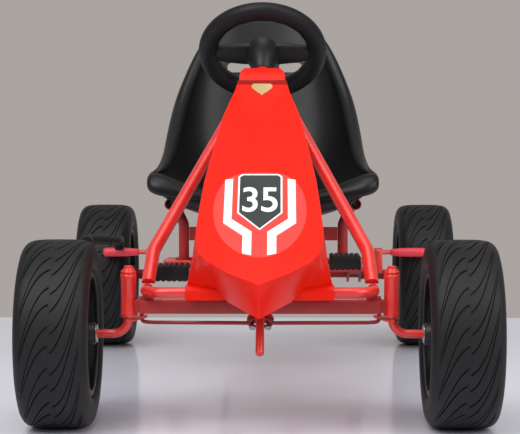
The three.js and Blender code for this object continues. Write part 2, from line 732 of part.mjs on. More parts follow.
// Rear axle: a plain shaft with spacers between the hangers and the wheel hubs.
function rearAxleShape() {
  const wheelX = rearTrack / 2;
  const hubInner = wheelX + rim.hubNose - rim.hubLength - runningGap;
  const nutStart = wheelX + rim.hubNose + runningGap;
  const ear = hangerX + hanger.width / 2 + runningGap;
  const end = nutStart + axle.nutLength;
  const shaft = rod(at(-end, wheelbase, axleZ), at(end, wheelbase, axleZ), axle.radius);
  const ends = sides.flatMap(({ sign }) => [
    rod(at(sign * ear, wheelbase, axleZ), at(sign * hubInner, wheelbase, axleZ), axle.spacerRadius),
    rod(at(sign * nutStart, wheelbase, axleZ), at(sign * end, wheelbase, axleZ), stub.nutRadius, 6),
  ]);
  return joined(shaft, ...ends);
}
add('rear_axle', rearAxleShape(), finishes.frame);

// Chain drive. Pitch circles, the run of the chain and the phase of each sprocket.
const chainX = -drive.x;
const pitchRadius = (teeth) => drive.pitch / (2 * Math.sin(Math.PI / teeth));
const frontRadius = pitchRadius(drive.frontTeeth);
const rearRadius = pitchRadius(drive.rearTeeth);
const crankCentre = new THREE.Vector2(crank.y, crank.z);
const axleCentre = new THREE.Vector2(wheelbase, axleZ);
const span = axleCentre.clone().sub(crankCentre);
const slope = Math.atan2(span.y, span.x);
const wrap = Math.acos((frontRadius - rearRadius) / span.length());
const runLength = Math.sqrt(span.lengthSq() - (frontRadius - rearRadius) ** 2);
const frontLinks = ((2 * Math.PI - 2 * wrap) / (2 * Math.PI)) * drive.frontTeeth;
const rearLinks = ((2 * wrap) / (2 * Math.PI)) * drive.rearTeeth;
const runLinks = (drive.links - frontLinks - rearLinks) / 2;

// The chain's line at a number of links from where it leaves the front sprocket's top.
function chainPoint(link, offset = 0) {
  const place = ((link % drive.links) + drive.links) % drive.links;
  const onCircle = (centre, radius, angle) => new THREE.Vector2(
    centre.x + (radius + offset) * Math.cos(angle), centre.y + (radius + offset) * Math.sin(angle));
  const onRun = (from, to, share, angle) => from.clone().lerp(to, share)
    .add(new THREE.Vector2(Math.cos(angle), Math.sin(angle)).multiplyScalar(offset));
  const topAngle = slope + wrap;
  const lowAngle = slope - wrap;
  const edge = (centre, radius, angle) => new THREE.Vector2(
    centre.x + radius * Math.cos(angle), centre.y + radius * Math.sin(angle));
  if (place < runLinks) {
    return onRun(edge(crankCentre, frontRadius, topAngle), edge(axleCentre, rearRadius, topAngle),
      place / runLinks, topAngle);
  }
  if (place < runLinks + rearLinks) {
    return onCircle(axleCentre, rearRadius, topAngle - ((place - runLinks) / rearLinks) * 2 * wrap);
  }
  if (place < 2 * runLinks + rearLinks) {
    return onRun(edge(axleCentre, rearRadius, lowAngle), edge(crankCentre, frontRadius, lowAngle),
      (place - runLinks - rearLinks) / runLinks, lowAngle);
  }
  const turn = (place - 2 * runLinks - rearLinks) / frontLinks;
  return onCircle(crankCentre, frontRadius, lowAngle - turn * (2 * Math.PI - 2 * wrap));
}

// A loop beside the chain's line, with points only where it bends.
function chainLoop(offset) {
  const places = [0, runLinks];
  for (let link = 1; link < rearLinks; link += 1) places.push(runLinks + link);
  places.push(runLinks + rearLinks, 2 * runLinks + rearLinks);
  for (let link = 1; link < frontLinks; link += 1) places.push(2 * runLinks + rearLinks + link);
  return places.map((place) => chainPoint(place, offset)).reverse();
}

function chainShape() {
  const inPlace = ({ x, y }) => [frontAxleY + x, y];
  const band = (low) => {
    const outline = new THREE.Shape(chainLoop(drive.plateHalf).map((p) => new THREE.Vector2(...inPlace(p))));
    outline.holes.push(new THREE.Path(chainLoop(-drive.plateHalf).map((p) => new THREE.Vector2(...inPlace(p)))));
    const slab = new THREE.ExtrudeGeometry(outline, { depth: drive.plate, bevelEnabled: false });
    return placed(slab, new THREE.Vector3(low, 0, 0), along.y, along.z);
  };
  const gap = drive.gauge / 2;
  const plates = [band(chainX - gap - drive.plate), band(chainX + gap)].map(solidOf);
  const rollers = Array.from({ length: drive.links }, (_, link) => {
    const { x, y } = chainPoint(link);
    const ahead = chainPoint(link + 1 / 2);
    const angle = Math.atan2(ahead.y - y, ahead.x - x);
    const bar = new THREE.CylinderGeometry(roller.radius, roller.radius, drive.gauge + drive.plate, 4);
    bar.rotateZ(Math.PI / 2).rotateX(angle);
    return solidOf(bar.translate(chainX, frontAxleY + x, y));
  });
  return geometryOf(rollers.reduce((sum, next) => sum.add(next), plates[0].add(plates[1])));
}
add('chain', chainShape(), finishes.steel);

// A sprocket whose tooth gaps stand at the chain's rollers.
function sprocketShape(centre, teeth, phase, bore, bossSign, holes) {
  const radius = pitchRadius(teeth);
  const root = radius - roller.radius - seatGap * 2;
  const outline = [];
  const step = (2 * Math.PI) / teeth;
  for (let tooth = 0; tooth < teeth; tooth += 1) {
    const middle = phase + (tooth + 1 / 2) * step;
    const rootHalf = step * sprocket.rootShare;
    const tipHalf = step * sprocket.tipShare;
    for (const [angle, reach] of [[-rootHalf, root], [-tipHalf, radius + sprocket.toothHeight],
      [tipHalf, radius + sprocket.toothHeight], [rootHalf, root]]) {
      outline.push([reach * Math.cos(middle + angle), reach * Math.sin(middle + angle)]);
    }
  }
  const start = at(chainX - sprocket.thickness / 2, centre.x, centre.y);
  const disc = plate(outline, start, along.y, along.z, sprocket.thickness);
  const outer = at(chainX, centre.x, centre.y);
  const inner = at(chainX + bossSign * sprocket.bossLength, centre.x, centre.y);
  const boss = rod(outer, inner, sprocket.bossRadius, 12);
  const tools = [rod(at(chainX - cutOverrun, centre.x, centre.y), at(chainX + cutOverrun, centre.x, centre.y), bore)];
  const ringRadius = (sprocket.bossRadius + root) / 2;
  const holeRadius = (root - sprocket.bossRadius) * sprocket.holeShare;
  for (let i = 0; i < holes; i += 1) {
    const angle = (2 * Math.PI * i) / holes;
    const y = centre.x + ringRadius * Math.cos(angle);
    const z = centre.y + ringRadius * Math.sin(angle);
    tools.push(rod(at(chainX - cutOverrun, y, z), at(chainX + cutOverrun, y, z), holeRadius, 8));
  }
  return cut(joined(disc, boss), ...tools);
}
const phaseAt = (centre, link) => {
  const point = chainPoint(link);
  return Math.atan2(point.y - centre.y, point.x - centre.x);
};
const rearLink = Math.ceil(runLinks);
const frontLink = Math.ceil(2 * runLinks + rearLinks);
add('drive_sprocket', sprocketShape(crankCentre, drive.frontTeeth, phaseAt(crankCentre, frontLink),
  crank.radius + seatGap, 1, sprocket.holes), finishes.steel);
add('axle_sprocket', sprocketShape(axleCentre, drive.rearTeeth, phaseAt(axleCentre, rearLink),
  axle.radius + seatGap, 1, 0), finishes.steel);

// Cranks: one bent rod through the bottom bracket, a pedal on each end.
add('crank_rod', bentRod([
  at(-crank.end, crank.y - crank.throw, crank.z), at(-crank.armX, crank.y - crank.throw, crank.z),
  at(-crank.armX, crank.y, crank.z), at(crank.armX, crank.y, crank.z),
  at(crank.armX, crank.y + crank.throw, crank.z), at(crank.end, crank.y + crank.throw, crank.z),
], crank.bendRadius, crank.radius), finishes.steel);

function bottomBracketShape() {
  const shell = rod(at(-bracket.halfLength, crank.y, crank.z), at(bracket.halfLength, crank.y, crank.z),
    bracket.radius, 16);
  const feet = sides.map(({ sign }) => box(
    at(sign * rail.x - bracket.footWidth / 2, crank.y - bracket.footDepth / 2, rail.z),
    at(sign * rail.x + bracket.footWidth / 2, crank.y + bracket.footDepth / 2, crank.z),
  ));
  const rails = sides.map(({ sign }) => rod(
    at(sign * rail.x, crank.y - cutOverrun, rail.z), at(sign * rail.x, crank.y + cutOverrun, rail.z),
    rail.radius + seatGap,
  ));
  const bore = rod(at(-bracket.halfLength - cutOverrun, crank.y, crank.z),
    at(bracket.halfLength + cutOverrun, crank.y, crank.z), crank.radius + runningGap);
  return cut(joined(shell, ...feet), ...rails, bore);
}
add('bottom_bracket', bottomBracketShape(), finishes.frame);

function pedalShape(sign, y) {
  const length = pedal.outer - pedal.inner;
  const half = pedal.thickness / 2;
  const step = length / pedal.ridges;
  const top = [];
  for (let i = 0; i < pedal.ridges; i += 1) {
    const from = pedal.inner + i * step;
    top.push([from, half - pedal.ridgeHeight], [from + step * pedal.ridgeShare, half],
      [from + step * (1 - pedal.ridgeShare), half]);
  }
  top.push([pedal.outer, half - pedal.ridgeHeight]);
  const bottom = top.map(([x, z]) => [x, -z]).reverse();
  const outline = [...top, ...bottom].map(([x, z]) => [sign * x, z]);
  const start = at(0, y + pedal.depth / 2, crank.z);
  const block = plate(outline, start, along.x, along.z, pedal.depth);
  const bore = rod(at(sign * (pedal.inner - cutOverrun), y, crank.z), at(sign * (pedal.outer + cutOverrun), y, crank.z),
    crank.radius + runningGap);
  const slots = [-1, 1].map((way) => box(
    at(sign * (pedal.inner + pedal.outer) / 2 - length * pedal.slotShare / 2,
      y + way * pedal.slotOffset - pedal.slotDepth / 2, crank.z - cutOverrun),
    at(sign * (pedal.inner + pedal.outer) / 2 + length * pedal.slotShare / 2,
      y + way * pedal.slotOffset + pedal.slotDepth / 2, crank.z + cutOverrun),
  ));
  return cut(block, bore, ...slots);
}
for (const { name, sign } of sides) {
  add(`pedal_${name}`, pedalShape(sign, crank.y + sign * crank.throw), finishes.black);
}

// Chain guard: a side plate with a turned-in rim, open towards the frame and at the back.
function guardOutline(margin) {
  const outer = guard.margin + margin;
  const topAngle = slope + wrap;
  const steps = 10;
  const points = [];
  const reach = (angle) => [crankCentre.x + (frontRadius + outer) * Math.cos(angle),
    crankCentre.y + (frontRadius + outer) * Math.sin(angle)];
  for (let i = 0; i <= steps; i += 1) {
    points.push(reach(topAngle + ((2 * Math.PI - 2 * wrap) * i) / steps));
  }
  const [lowY, lowZ] = points[points.length - 1];
  const [topY, topZ] = points[0];
  const lowSlope = Math.tan(slope - wrap + Math.PI / 2);
  const topSlope = Math.tan(slope + wrap - Math.PI / 2);
  points.push([guard.rearY, lowZ + (guard.rearY - lowY) * lowSlope]);
  points.push([guard.rearY, topZ + (guard.rearY - topY) * topSlope]);
  return points.map(([y, z]) => [frontAxleY + y, z]);
}

function guardShape() {
  const outerX = -guard.inner - guard.thickness;
  const whole = plate(guardOutline(guard.thickness), new THREE.Vector3(outerX, 0, 0), along.y, along.z,
    guard.thickness + guard.rim);
  const hollow = plate(guardOutline(0), new THREE.Vector3(-guard.inner, 0, 0), along.y, along.z,
    guard.rim + cutOverrun);
  const behind = box(at(-guard.inner, guard.rearY - cutOverrun / 4, 0),
    at(cutOverrun - guard.inner, guard.rearY + cutOverrun, crank.z * 2));
  const hole = rod(at(outerX - cutOverrun, crank.y, crank.z), at(-guard.inner + cutOverrun, crank.y, crank.z),
    crank.radius * 2);
  const standoffs = Array.from({ length: guard.standoffs }, (_, i) => {
    const y = guard.standoffY + i * guard.standoffPitch;
    return rod(at(outerX + guard.thickness / 2, y, rail.z),
      at(-rail.x - rail.radius - seatGap, y, rail.z), guard.standoffRadius, 8);
  });
  return joined(cut(whole, hollow, behind, hole), ...standoffs);
}
add('chain_guard', guardShape(), finishes.black);

// Brake: a rod that turns in two brackets under the rails, with an arm and a sleeve at each end.
for (const { name, sign } of sides) {
  const half = brake.bracketWidth / 2;
  const low = brakePivotZ - brake.rodRadius - brake.bracketWall;
  const block = box(at(sign * rail.x - half, brakeY - brake.bracketWidth, low),
    at(sign * rail.x + half, brakeY + brake.bracketWidth, rail.z));
  const railCut = rod(at(sign * rail.x, brakeY - cutOverrun, rail.z), at(sign * rail.x, brakeY + cutOverrun,
    rail.z), rail.radius + seatGap);
  const above = box(at(sign * rail.x - cutOverrun, brakeY - cutOverrun, rail.z - rail.radius / 2),
    at(sign * rail.x + cutOverrun, brakeY + cutOverrun, rail.z + cutOverrun));
  const bore = rod(at(sign * rail.x - cutOverrun, brakeY, brakePivotZ),
    at(sign * rail.x + cutOverrun, brakeY, brakePivotZ), brake.rodRadius + runningGap);
  add(`brake_bracket_${name}`, cut(block, railCut, above, bore), finishes.frame);
}

function brakeBarShape() {
  const pieces = [rod(at(-brake.armX, brakeY, brakePivotZ), at(brake.armX, brakeY, brakePivotZ),
    brake.rodRadius, 10)];
  const start = new THREE.Vector2(brakeY, brakePivotZ);
  const end = new THREE.Vector2(brakeSleeveY, brake.sleeveZ);
  const lean = Math.atan2(end.y - start.y, end.x - start.x);
  const steps = 6;
  for (const { sign } of sides) {
    const outline = [];
    for (const [centre, from] of [[start, lean + Math.PI / 2], [end, lean - Math.PI / 2]]) {
      for (let i = 0; i <= steps; i += 1) {
        const angle = from + (Math.PI * i) / steps;
        outline.push([frontAxleY + centre.x + brake.armRound * Math.cos(angle),
          centre.y + brake.armRound * Math.sin(angle)]);
      }
    }
    const low = sign * brake.armX - brake.armWidth / 2;
    pieces.push(plate(outline, new THREE.Vector3(low, 0, 0), along.y, along.z, brake.armWidth));
    pieces.push(rod(at(sign * brake.armX, brakeSleeveY, brake.sleeveZ),
      at(sign * sleeve.outer, brakeSleeveY, brake.sleeveZ), brake.rodRadius, 10));
  }
  return joined(...pieces);
}
add('brake_bar', brakeBarShape(), finishes.frame);
for (const { name, sign } of sides) {
  add(`brake_sleeve_${name}`, turned([
    [0, brake.rodRadius + seatGap], [0, brake.rodRadius + brake.sleeveLip], [sleeve.taper, sleeve.radius],
    [sleeve.outer - sleeve.inner, sleeve.radius], [sleeve.outer - sleeve.inner, brake.rodRadius + seatGap],
  ], at(sign * sleeve.inner, brakeSleeveY, brake.sleeveZ), along.x.clone().multiplyScalar(sign), 12),
  finishes.sleeve);
}

// Brake lever: a saddle on the right sleeve, and an arm that reaches forwards and outwards.
function leverShape() {
  const half = lever.stemWidth / 2;
  const top = lever.gripZ - lever.drop;
  const stem = box(at(-lever.x - half, brakeSleeveY - half, brake.sleeveZ + sleeve.radius / 2),
    at(-lever.x + half, brakeSleeveY + half, top));
  const arm = bentRod([
    at(-lever.x, brakeSleeveY + half, top), at(-lever.x, brakeSleeveY - lever.lead, top),
    at(-lever.gripX, leverGripY + lever.lead, lever.gripZ), at(-lever.gripX, leverGripY, lever.gripZ),
  ], lever.bendRadius, lever.radius);
  const bore = rod(at(-lever.x - cutOverrun, brakeSleeveY, brake.sleeveZ),
    at(-lever.x + cutOverrun, brakeSleeveY, brake.sleeveZ), sleeve.radius + seatGap, 12);
  return cut(joined(stem, arm), bore);
}
add('brake_lever', leverShape(), finishes.black);

// Bucket seat: a shell that runs from its front lip along the pan and up the back. Stations are
// shares of the seat's depth and height: the middle line's place, the rim's place, the half width.
const seatStationShares = [
  [0, 0.09, 0, 0.2, 0.98],
  [0.05, 0.035, 0.03, 0.225, 1],
  [0.24, 0, 0.22, 0.235, 0.92],
  [0.48, 0, 0.46, 0.36, 0.89],
  [0.64, 0.03, 0.6, 0.46, 0.86],
  [0.76, 0.12, 0.71, 0.56, 0.82],
  [0.83, 0.27, 0.78, 0.665, 0.745],
  [0.88, 0.46, 0.84, 0.775, 0.66],
  [0.93, 0.68, 0.9, 0.875, 0.55],
  [0.975, 0.87, 0.96, 0.95, 0.42],
  [1, 1, 0.99, 0.99, 0.3],
];

function seatShape() {
  const depth = seat.backY - seat.frontY;
  const height = seat.topZ - seat.panZ;
  const middle = seatStationShares.map(([y, z]) => new THREE.Vector2(y * depth, z * height));
  const edge = seatStationShares.map(([, , y, z]) => new THREE.Vector2(y * depth, z * height));
  const inner = [];
  const outer = [];
  const last = seatStationShares.length - 1;
  seatStationShares.forEach(([, , , , width], i) => {
    const run = middle[Math.min(i + 1, last)].clone().sub(middle[Math.max(i - 1, 0)]).normalize();
    const away = new THREE.Vector2(run.y, -run.x);
    for (let j = 0; j <= seat.across; j += 1) {
      const angle = ((j / seat.across) * 2 - 1) * (Math.PI / 2);
      const rise = (1 - Math.cos(angle)) ** seat.flatness;
      const line = middle[i].clone().lerp(edge[i], rise);
      const x = width * seat.halfWidth * Math.sin(angle);
      const back = seat.wall * Math.cos(angle);
      const point = (side, y, z) => at(side, seat.frontY + y, seat.panZ + z);
      inner.push(point(x, line.x, line.y));
      outer.push(point(x + seat.wall * Math.sin(angle), line.x + away.x * back, line.y + away.y * back));
    }
  });
  const row = seat.across + 1;
  const count = inner.length;
  const index = [];
  const quad = (a, b, c, d) => index.push(a, b, c, a, c, d);
  for (let i = 0; i < last; i += 1) {
    for (let j = 0; j < seat.across; j += 1) {
      const at00 = i * row + j;
      quad(at00, at00 + 1, at00 + row + 1, at00 + row);
      quad(count + at00, count + at00 + row, count + at00 + row + 1, count + at00 + 1);
    }
    const first = i * row;
    const end = first + seat.across;
    quad(first, first + row, count + first + row, count + first);
    quad(end, count + end, count + end + row, end + row);
  }
  for (let j = 0; j < seat.across; j += 1) {
    const top = last * row + j;
    quad(j, count + j, count + j + 1, j + 1);
    quad(top, top + 1, count + top + 1, count + top);
  }
  const shell = new THREE.BufferGeometry().setFromPoints([...inner, ...outer]);
  shell.setIndex(index);
  const grooves = sides.map(({ sign }) => rod(railCentre(sign, seatRail.frontY - cutOverrun),
    railCentre(sign, seatRail.rearY + cutOverrun), seatRail.radius + seatGap));
  return cut(shell, ...grooves, ...sides.map(({ sign }) => postRod(sign, post.radius + seatGap)));
}
add('seat', seatShape(), finishes.black);

// Hood: a flat sloping panel, and walls from its crease down to a lower edge. The crease is given in
// shares of the panel's length and half width; the lower edge in shares of that length, of the
// base's half width, and of the fall from the panel to the base.
const creaseShares = [
  [0, 0.438], [0.051, 0.479], [0.206, 0.68], [0.379, 0.814], [0.529, 0.921], [0.657, 0.976], [0.735, 1],
  [0.782, 1], [0.831, 0.974], [0.873, 0.935], [0.907, 0.799], [0.951, 0.491], [1, 0],
];
const lowerEdgeShares = [
  [-0.002, 0.397, 0.034], [0.053, 0.441, 0.057], [0.21, 0.63, 0.099], [0.392, 0.749, 0.195],
  [0.47, 0.873, 0.523], [0.549, 0.972, 0.912], [0.612, 1, 0.986], [0.66, 1, 0.97], [0.705, 0.99, 0.85],
  [0.73, 0.94, 0.82], [0.748, 0.8, 0.81], [0.78, 0.55, 0.88], [0.947, 0, 1.169],
];
const hoodLength = hood.topY + noseReach;
const hoodSlope = (hood.topZ - hood.noseZ) / hoodLength;
const panelHeight = (y) => hood.noseZ + (y + noseReach) * hoodSlope;
const mirroredLoop = (half) => [...half, ...half.slice(0, -1).reverse().map((p) => p.clone().setX(-p.x))];

// Moves a loop's corners inwards, seen from above.
function inset(loop, distance) {
  return loop.map((corner, i) => {
    const before = loop[(i + loop.length - 1) % loop.length];
    const after = loop[(i + 1) % loop.length];
    const first = new THREE.Vector2(corner.x - before.x, corner.y - before.y).normalize();
    const second = new THREE.Vector2(after.x - corner.x, after.y - corner.y).normalize();
    const normal = new THREE.Vector2(first.y + second.y, -(first.x + second.x)).normalize();
    const reach = distance / Math.max(normal.dot(new THREE.Vector2(first.y, -first.x)), hood.sharpestShare);
    return corner.clone().add(new THREE.Vector3(normal.x * reach, normal.y * reach, 0));
  });
}

// A solid through loops of equally many corners. A wall that runs back up is split the same way as
// the one that it lines.
function lofted(...loops) {
  const count = loops[0].length;
  const base = (loops.length - 1) * count;
  const faces = (loop) => THREE.ShapeUtils.triangulateShape(loop.map((p) => new THREE.Vector2(p.x, p.y)), []);
  const index = [
    ...faces(loops[0]).flat(),
    ...faces(loops[loops.length - 1]).flatMap(([a, b, c]) => [base + c, base + b, base + a]),
  ];
  for (let level = 0; level < base; level += count) {
    const rises = loops[level / count + 1][0].z > loops[level / count][0].z;
    for (let i = 0; i < count; i += 1) {
      const here = level + i;
      const next = level + ((i + 1) % count);
      if (rises) index.push(here, next, count + here, next, count + next, count + here);
      else index.push(here, next, count + next, here, count + next, count + here);
    }
  }
  return new THREE.BufferGeometry().setFromPoints(loops.flat()).setIndex(index);
}

function hoodShape() {
  const crease = mirroredLoop(creaseShares.map(([run, width]) => {
    const y = hood.topY - run * hoodLength;
    return at(width * hood.creaseHalf, y, panelHeight(y));
  }));
  const edge = mirroredLoop(lowerEdgeShares.map(([run, width, fall]) => {
    const y = hood.topY - run * hoodLength;
    const z = panelHeight(y) - fall * (panelHeight(y) - hood.baseZ);
    return at(width * hood.baseHalf, y, z);
  }));
  const depth = hood.wall / Math.cos(Math.atan(hoodSlope));
  const ceiling = inset(crease, hood.wall);
  for (const corner of ceiling) corner.z = panelHeight(corner.y - frontAxleY) - depth;
  const shell = lofted(crease, edge, inset(edge, hood.wall), ceiling);
  const mouth = inset(edge, hood.wall / 2);
  const inside = lofted(inset(crease, hood.wall / 2), mouth,
    mouth.map((corner) => corner.clone().setZ(hood.baseZ - cutOverrun)));
  const pipeRadius = hoop.radius + seatGap;
  const saddleRadius = pipeRadius + hood.wall;
  const saddle = rod(at(-hood.baseHalf, hoop.frontY, hoop.z), at(hood.baseHalf, hoop.frontY, hoop.z),
    saddleRadius, 16);
  const apron = box(at(-hood.baseHalf, hoop.frontY - saddleRadius, hood.apronZ),
    at(hood.baseHalf, hoop.frontY, hoop.z));
  const channel = rod(at(-hood.baseHalf - cutOverrun, hoop.frontY, hoop.z),
    at(hood.baseHalf + cutOverrun, hoop.frontY, hoop.z), pipeRadius, 16);
  const slot = box(at(-hood.baseHalf - cutOverrun, hoop.frontY - pipeRadius, hoop.z - cutOverrun),
    at(hood.baseHalf + cutOverrun, hoop.frontY + saddleRadius, hoop.z));
  const capLow = hood.topY - hood.capOverlap;
  const lip = hood.topY + hood.groove * 2;
  const half = hood.creaseHalf * creaseShares[0][1] - hood.capInset;
  const upper = [
    [capLow, panelHeight(capLow) - hood.groove], [hood.topY + hood.groove, panelHeight(lip) - hood.groove * 2],
    [lip, panelHeight(lip)], [hood.capY, hood.capZ], [hood.capRearY, hood.capRearZ],
  ];
  const roofUnder = [
    [hood.capRearY, hood.capRearZ - hood.wall], [hood.capY + hood.groove, hood.capZ - hood.wall],
    [lip + hood.wall, panelHeight(lip) - hood.wall], [capLow, panelHeight(capLow) - hood.wall],
  ];
  const cheekUnder = [
    [hood.capRearY, hood.capRearZ - hood.cheekDrop], [capLow, panelHeight(capLow) - hood.cheekDrop],
  ];
  const slab = (under, low, width) => plate([...upper, ...under].map(([y, z]) => [frontAxleY + y, z]),
    new THREE.Vector3(low, 0, 0), along.y, along.z, width);
  const cap = slab(roofUnder, -half, half * 2);
  const cheeks = [-half, half - hood.wall].map((low) => slab(cheekUnder, low, hood.wall));
  const carrier = cut(joined(saddle, apron), slot, inside);
  return joined(cut(joined(shell, carrier), channel), cap, ...cheeks);
}
add('hood', hoodShape(), finishes.hood);

export default kart;
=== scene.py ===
"""A child's pedal go-kart, dressed for a studio view from the front.

Lengths are millimetres in the classes' fields and metres once they reach Blender. The kart faces -Y, its left
side is +X, and the y of a point is counted backwards from the front axle.
"""

import logging
import math
from dataclasses import dataclass
from enum import Enum
from typing import Sequence

import bpy
from mathutils import Matrix, Vector


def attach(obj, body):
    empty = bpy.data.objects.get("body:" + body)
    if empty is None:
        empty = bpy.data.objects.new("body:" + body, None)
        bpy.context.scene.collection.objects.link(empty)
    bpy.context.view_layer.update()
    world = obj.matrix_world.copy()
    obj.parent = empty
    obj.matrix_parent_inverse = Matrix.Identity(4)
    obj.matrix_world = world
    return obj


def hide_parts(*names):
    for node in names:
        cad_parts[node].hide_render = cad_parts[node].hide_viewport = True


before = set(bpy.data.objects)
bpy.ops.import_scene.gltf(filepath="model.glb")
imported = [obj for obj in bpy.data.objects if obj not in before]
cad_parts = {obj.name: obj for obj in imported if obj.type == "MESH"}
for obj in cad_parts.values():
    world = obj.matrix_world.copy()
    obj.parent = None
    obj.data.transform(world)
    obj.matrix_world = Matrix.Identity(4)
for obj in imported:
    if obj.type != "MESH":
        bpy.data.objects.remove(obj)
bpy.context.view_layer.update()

log = logging.getLogger("kart")

Point = tuple[float, float, float]
Outline = Sequence[tuple[float, float]]
Object = bpy.types.Object

MM = 0.001
MERGE = 1e-6
FLAT_ANGLE = math.radians(1.5)
ROLL_SIDES = 20
SIDES = (("left", 1), ("right", -1))
X, Y, Z = Vector((1, 0, 0)), Vector((0, 1, 0)), Vector((0, 0, 1))

# Places that several sub-assemblies share.
FRONT_AXLE_Y = -407.5
AXLE_Z = 129.37
WHEELBASE = 860.0
KINGPIN_X = 181.0
HOOP_Y, HOOP_Z = -42.0, 190.0
SEAT_RAIL = (150.0, 424.0, 284.0)
SEAT_POST = ((131.0, 490.0, 189.7), (131.0, 490.0, 248.0), (148.0, 490.0, 284.0))
COLUMN_FOOT = (0.0, 4.0, 150.0)
COLUMN_ANGLE = math.radians(46)
COLUMN = Vector((0, math.cos(COLUMN_ANGLE), math.sin(COLUMN_ANGLE)))
ACROSS = Vector((0, math.sin(COLUMN_ANGLE), -math.cos(COLUMN_ANGLE)))


def at(x: float, y: float, z: float) -> Vector:
    """A point of the kart in metres, from millimetres with y counted from the front axle."""
    return Vector((x, y + FRONT_AXLE_Y, z)) * MM


def on_side(point: Point, sign: int) -> Vector:
    """A point of the kart's left side in metres, or its mirror image where the sign is -1."""
    return at(sign * point[0], *point[1:])


def on_column(distance: float, sideways: float = 0.0, across: float = 0.0) -> Vector:
    """A point beside the steering column's axis, in metres, from distances in millimetres."""
    return at(sideways, *COLUMN_FOOT[1:]) + (COLUMN * distance + ACROSS * across) * MM


def arc(centre: tuple[float, float], radius: float, start: float, turn: float, steps: int) -> Outline:
    """Points on a round stretch of an outline.

    Args:
        centre: the arc's centre in millimetres.
        radius: its radius in millimetres.
        start: the angle that it starts at, in radians.
        turn: the angle that it turns by, in radians.
        steps: how many steps it has.

    Returns:
        The points, one more than the steps.
    """
    angles = [start + turn * step / steps for step in range(steps + 1)]
    return [(centre[0] + radius * math.cos(angle), centre[1] + radius * math.sin(angle)) for angle in angles]


def mirrored(half: Sequence[tuple]) -> list[tuple]:
    """Points that run from the left side to the middle, followed by their mirror images."""
    return [*half, *((-x, *rest) for x, *rest in reversed(half[:-1]))]


# ---------------------------------------------------------------- finishes


class Slot(Enum):
    """The record's material slots."""

    PAINT = "red_paint"
    HOOD = "hood_plastic"
    BLACK = "black_plastic"
    TYRE = "tyre"
    STEEL = "steel"
    SLEEVE = "sleeve_plastic"


def wire(tree: bpy.types.NodeTree, *wires: tuple) -> None:
    """Links sockets of a node tree, each wire given as (node, its output, node, its input)."""
    for source, output, target, given in wires:
        tree.links.new(source.outputs[output], target.inputs[given])


def tune(node: bpy.types.Node, **values: object) -> None:
    """Sets a node's inputs, each named by its words joined with underscores."""
    for name, value in values.items():
        node.inputs[name.replace("_", " ")].default_value = value


def group_tree(name: str, given: dict[str, float | None], out: dict[str, str]) -> bpy.types.NodeTree:
    """A new node group with its sockets.

    Args:
        name: the group's name.
        given: the inputs: a number's default, or None for a colour.
        out: the outputs, each with its kind of socket.

    Returns:
        The group, still without nodes.
    """
    tree = bpy.data.node_groups.new(name, "ShaderNodeTree")
    for title, value in given.items():
        kind = "NodeSocketColor" if value is None else "NodeSocketFloat"
        socket = tree.interface.new_socket(name=title, in_out="INPUT", socket_type=kind)
        if value is not None:
            socket.default_value = value
    for title, kind in out.items():
        tree.interface.new_socket(name=title, in_out="OUTPUT", socket_type=kind)
    return tree


def mottle_group() -> bpy.types.NodeTree:
    """A group that varies two tones over a surface.

    Returns:
        The node group, with the mixed colour and a mask as its outputs.
    """
    tree = group_tree("mottle", {"Light": None, "Dark": None, "Scale": 20.0},
                      {"Colour": "NodeSocketColor", "Mask": "NodeSocketFloat"})
    kinds = ("NodeGroupInput", "NodeGroupOutput", "ShaderNodeTexCoord", "ShaderNodeTexNoise", "ShaderNodeMapRange",
             "ShaderNodeMix")
    given, out, place, noise, ramp, mix = (tree.nodes.new(kind) for kind in kinds)
    tune(noise, Detail=6.0, Roughness=0.6)
    tune(ramp, From_Min=0.35, From_Max=0.68)
    mix.data_type = "RGBA"
    wire(tree, (place, "Object", noise, "Vector"), (given, "Scale", noise, "Scale"), (noise, "Fac", ramp, "Value"),
         (ramp, "Result", mix, "Factor"), (given, "Dark", mix, "A"), (given, "Light", mix, "B"),
         (mix, "Result", out, "Colour"), (ramp, "Result", out, "Mask"))
    return tree


def grain_group() -> bpy.types.NodeTree:
    """A group that gives the fine grain of a moulded or coated surface.

    Returns:
        The node group, with a roughness value and a height as its outputs.
    """
    tree = group_tree("grain", {"Scale": 600.0, "Low": 0.3, "High": 0.5},
                      {"Roughness": "NodeSocketFloat", "Height": "NodeSocketFloat"})
    kinds = ("NodeGroupInput", "NodeGroupOutput", "ShaderNodeTexCoord", "ShaderNodeTexNoise", "ShaderNodeTexNoise",
             "ShaderNodeMapRange")
    given, out, place, fine, broad, spread = (tree.nodes.new(kind) for kind in kinds)
    tune(broad, Scale=14.0, Detail=5.0)
    wire(tree, (place, "Object", fine, "Vector"), (place, "Object", broad, "Vector"), (given, "Scale", fine, "Scale"),
         (broad, "Fac", spread, "Value"), (given, "Low", spread, "To Min"), (given, "High", spread, "To Max"),
         (spread, "Result", out, "Roughness"), (fine, "Fac", out, "Height"))
    return tree


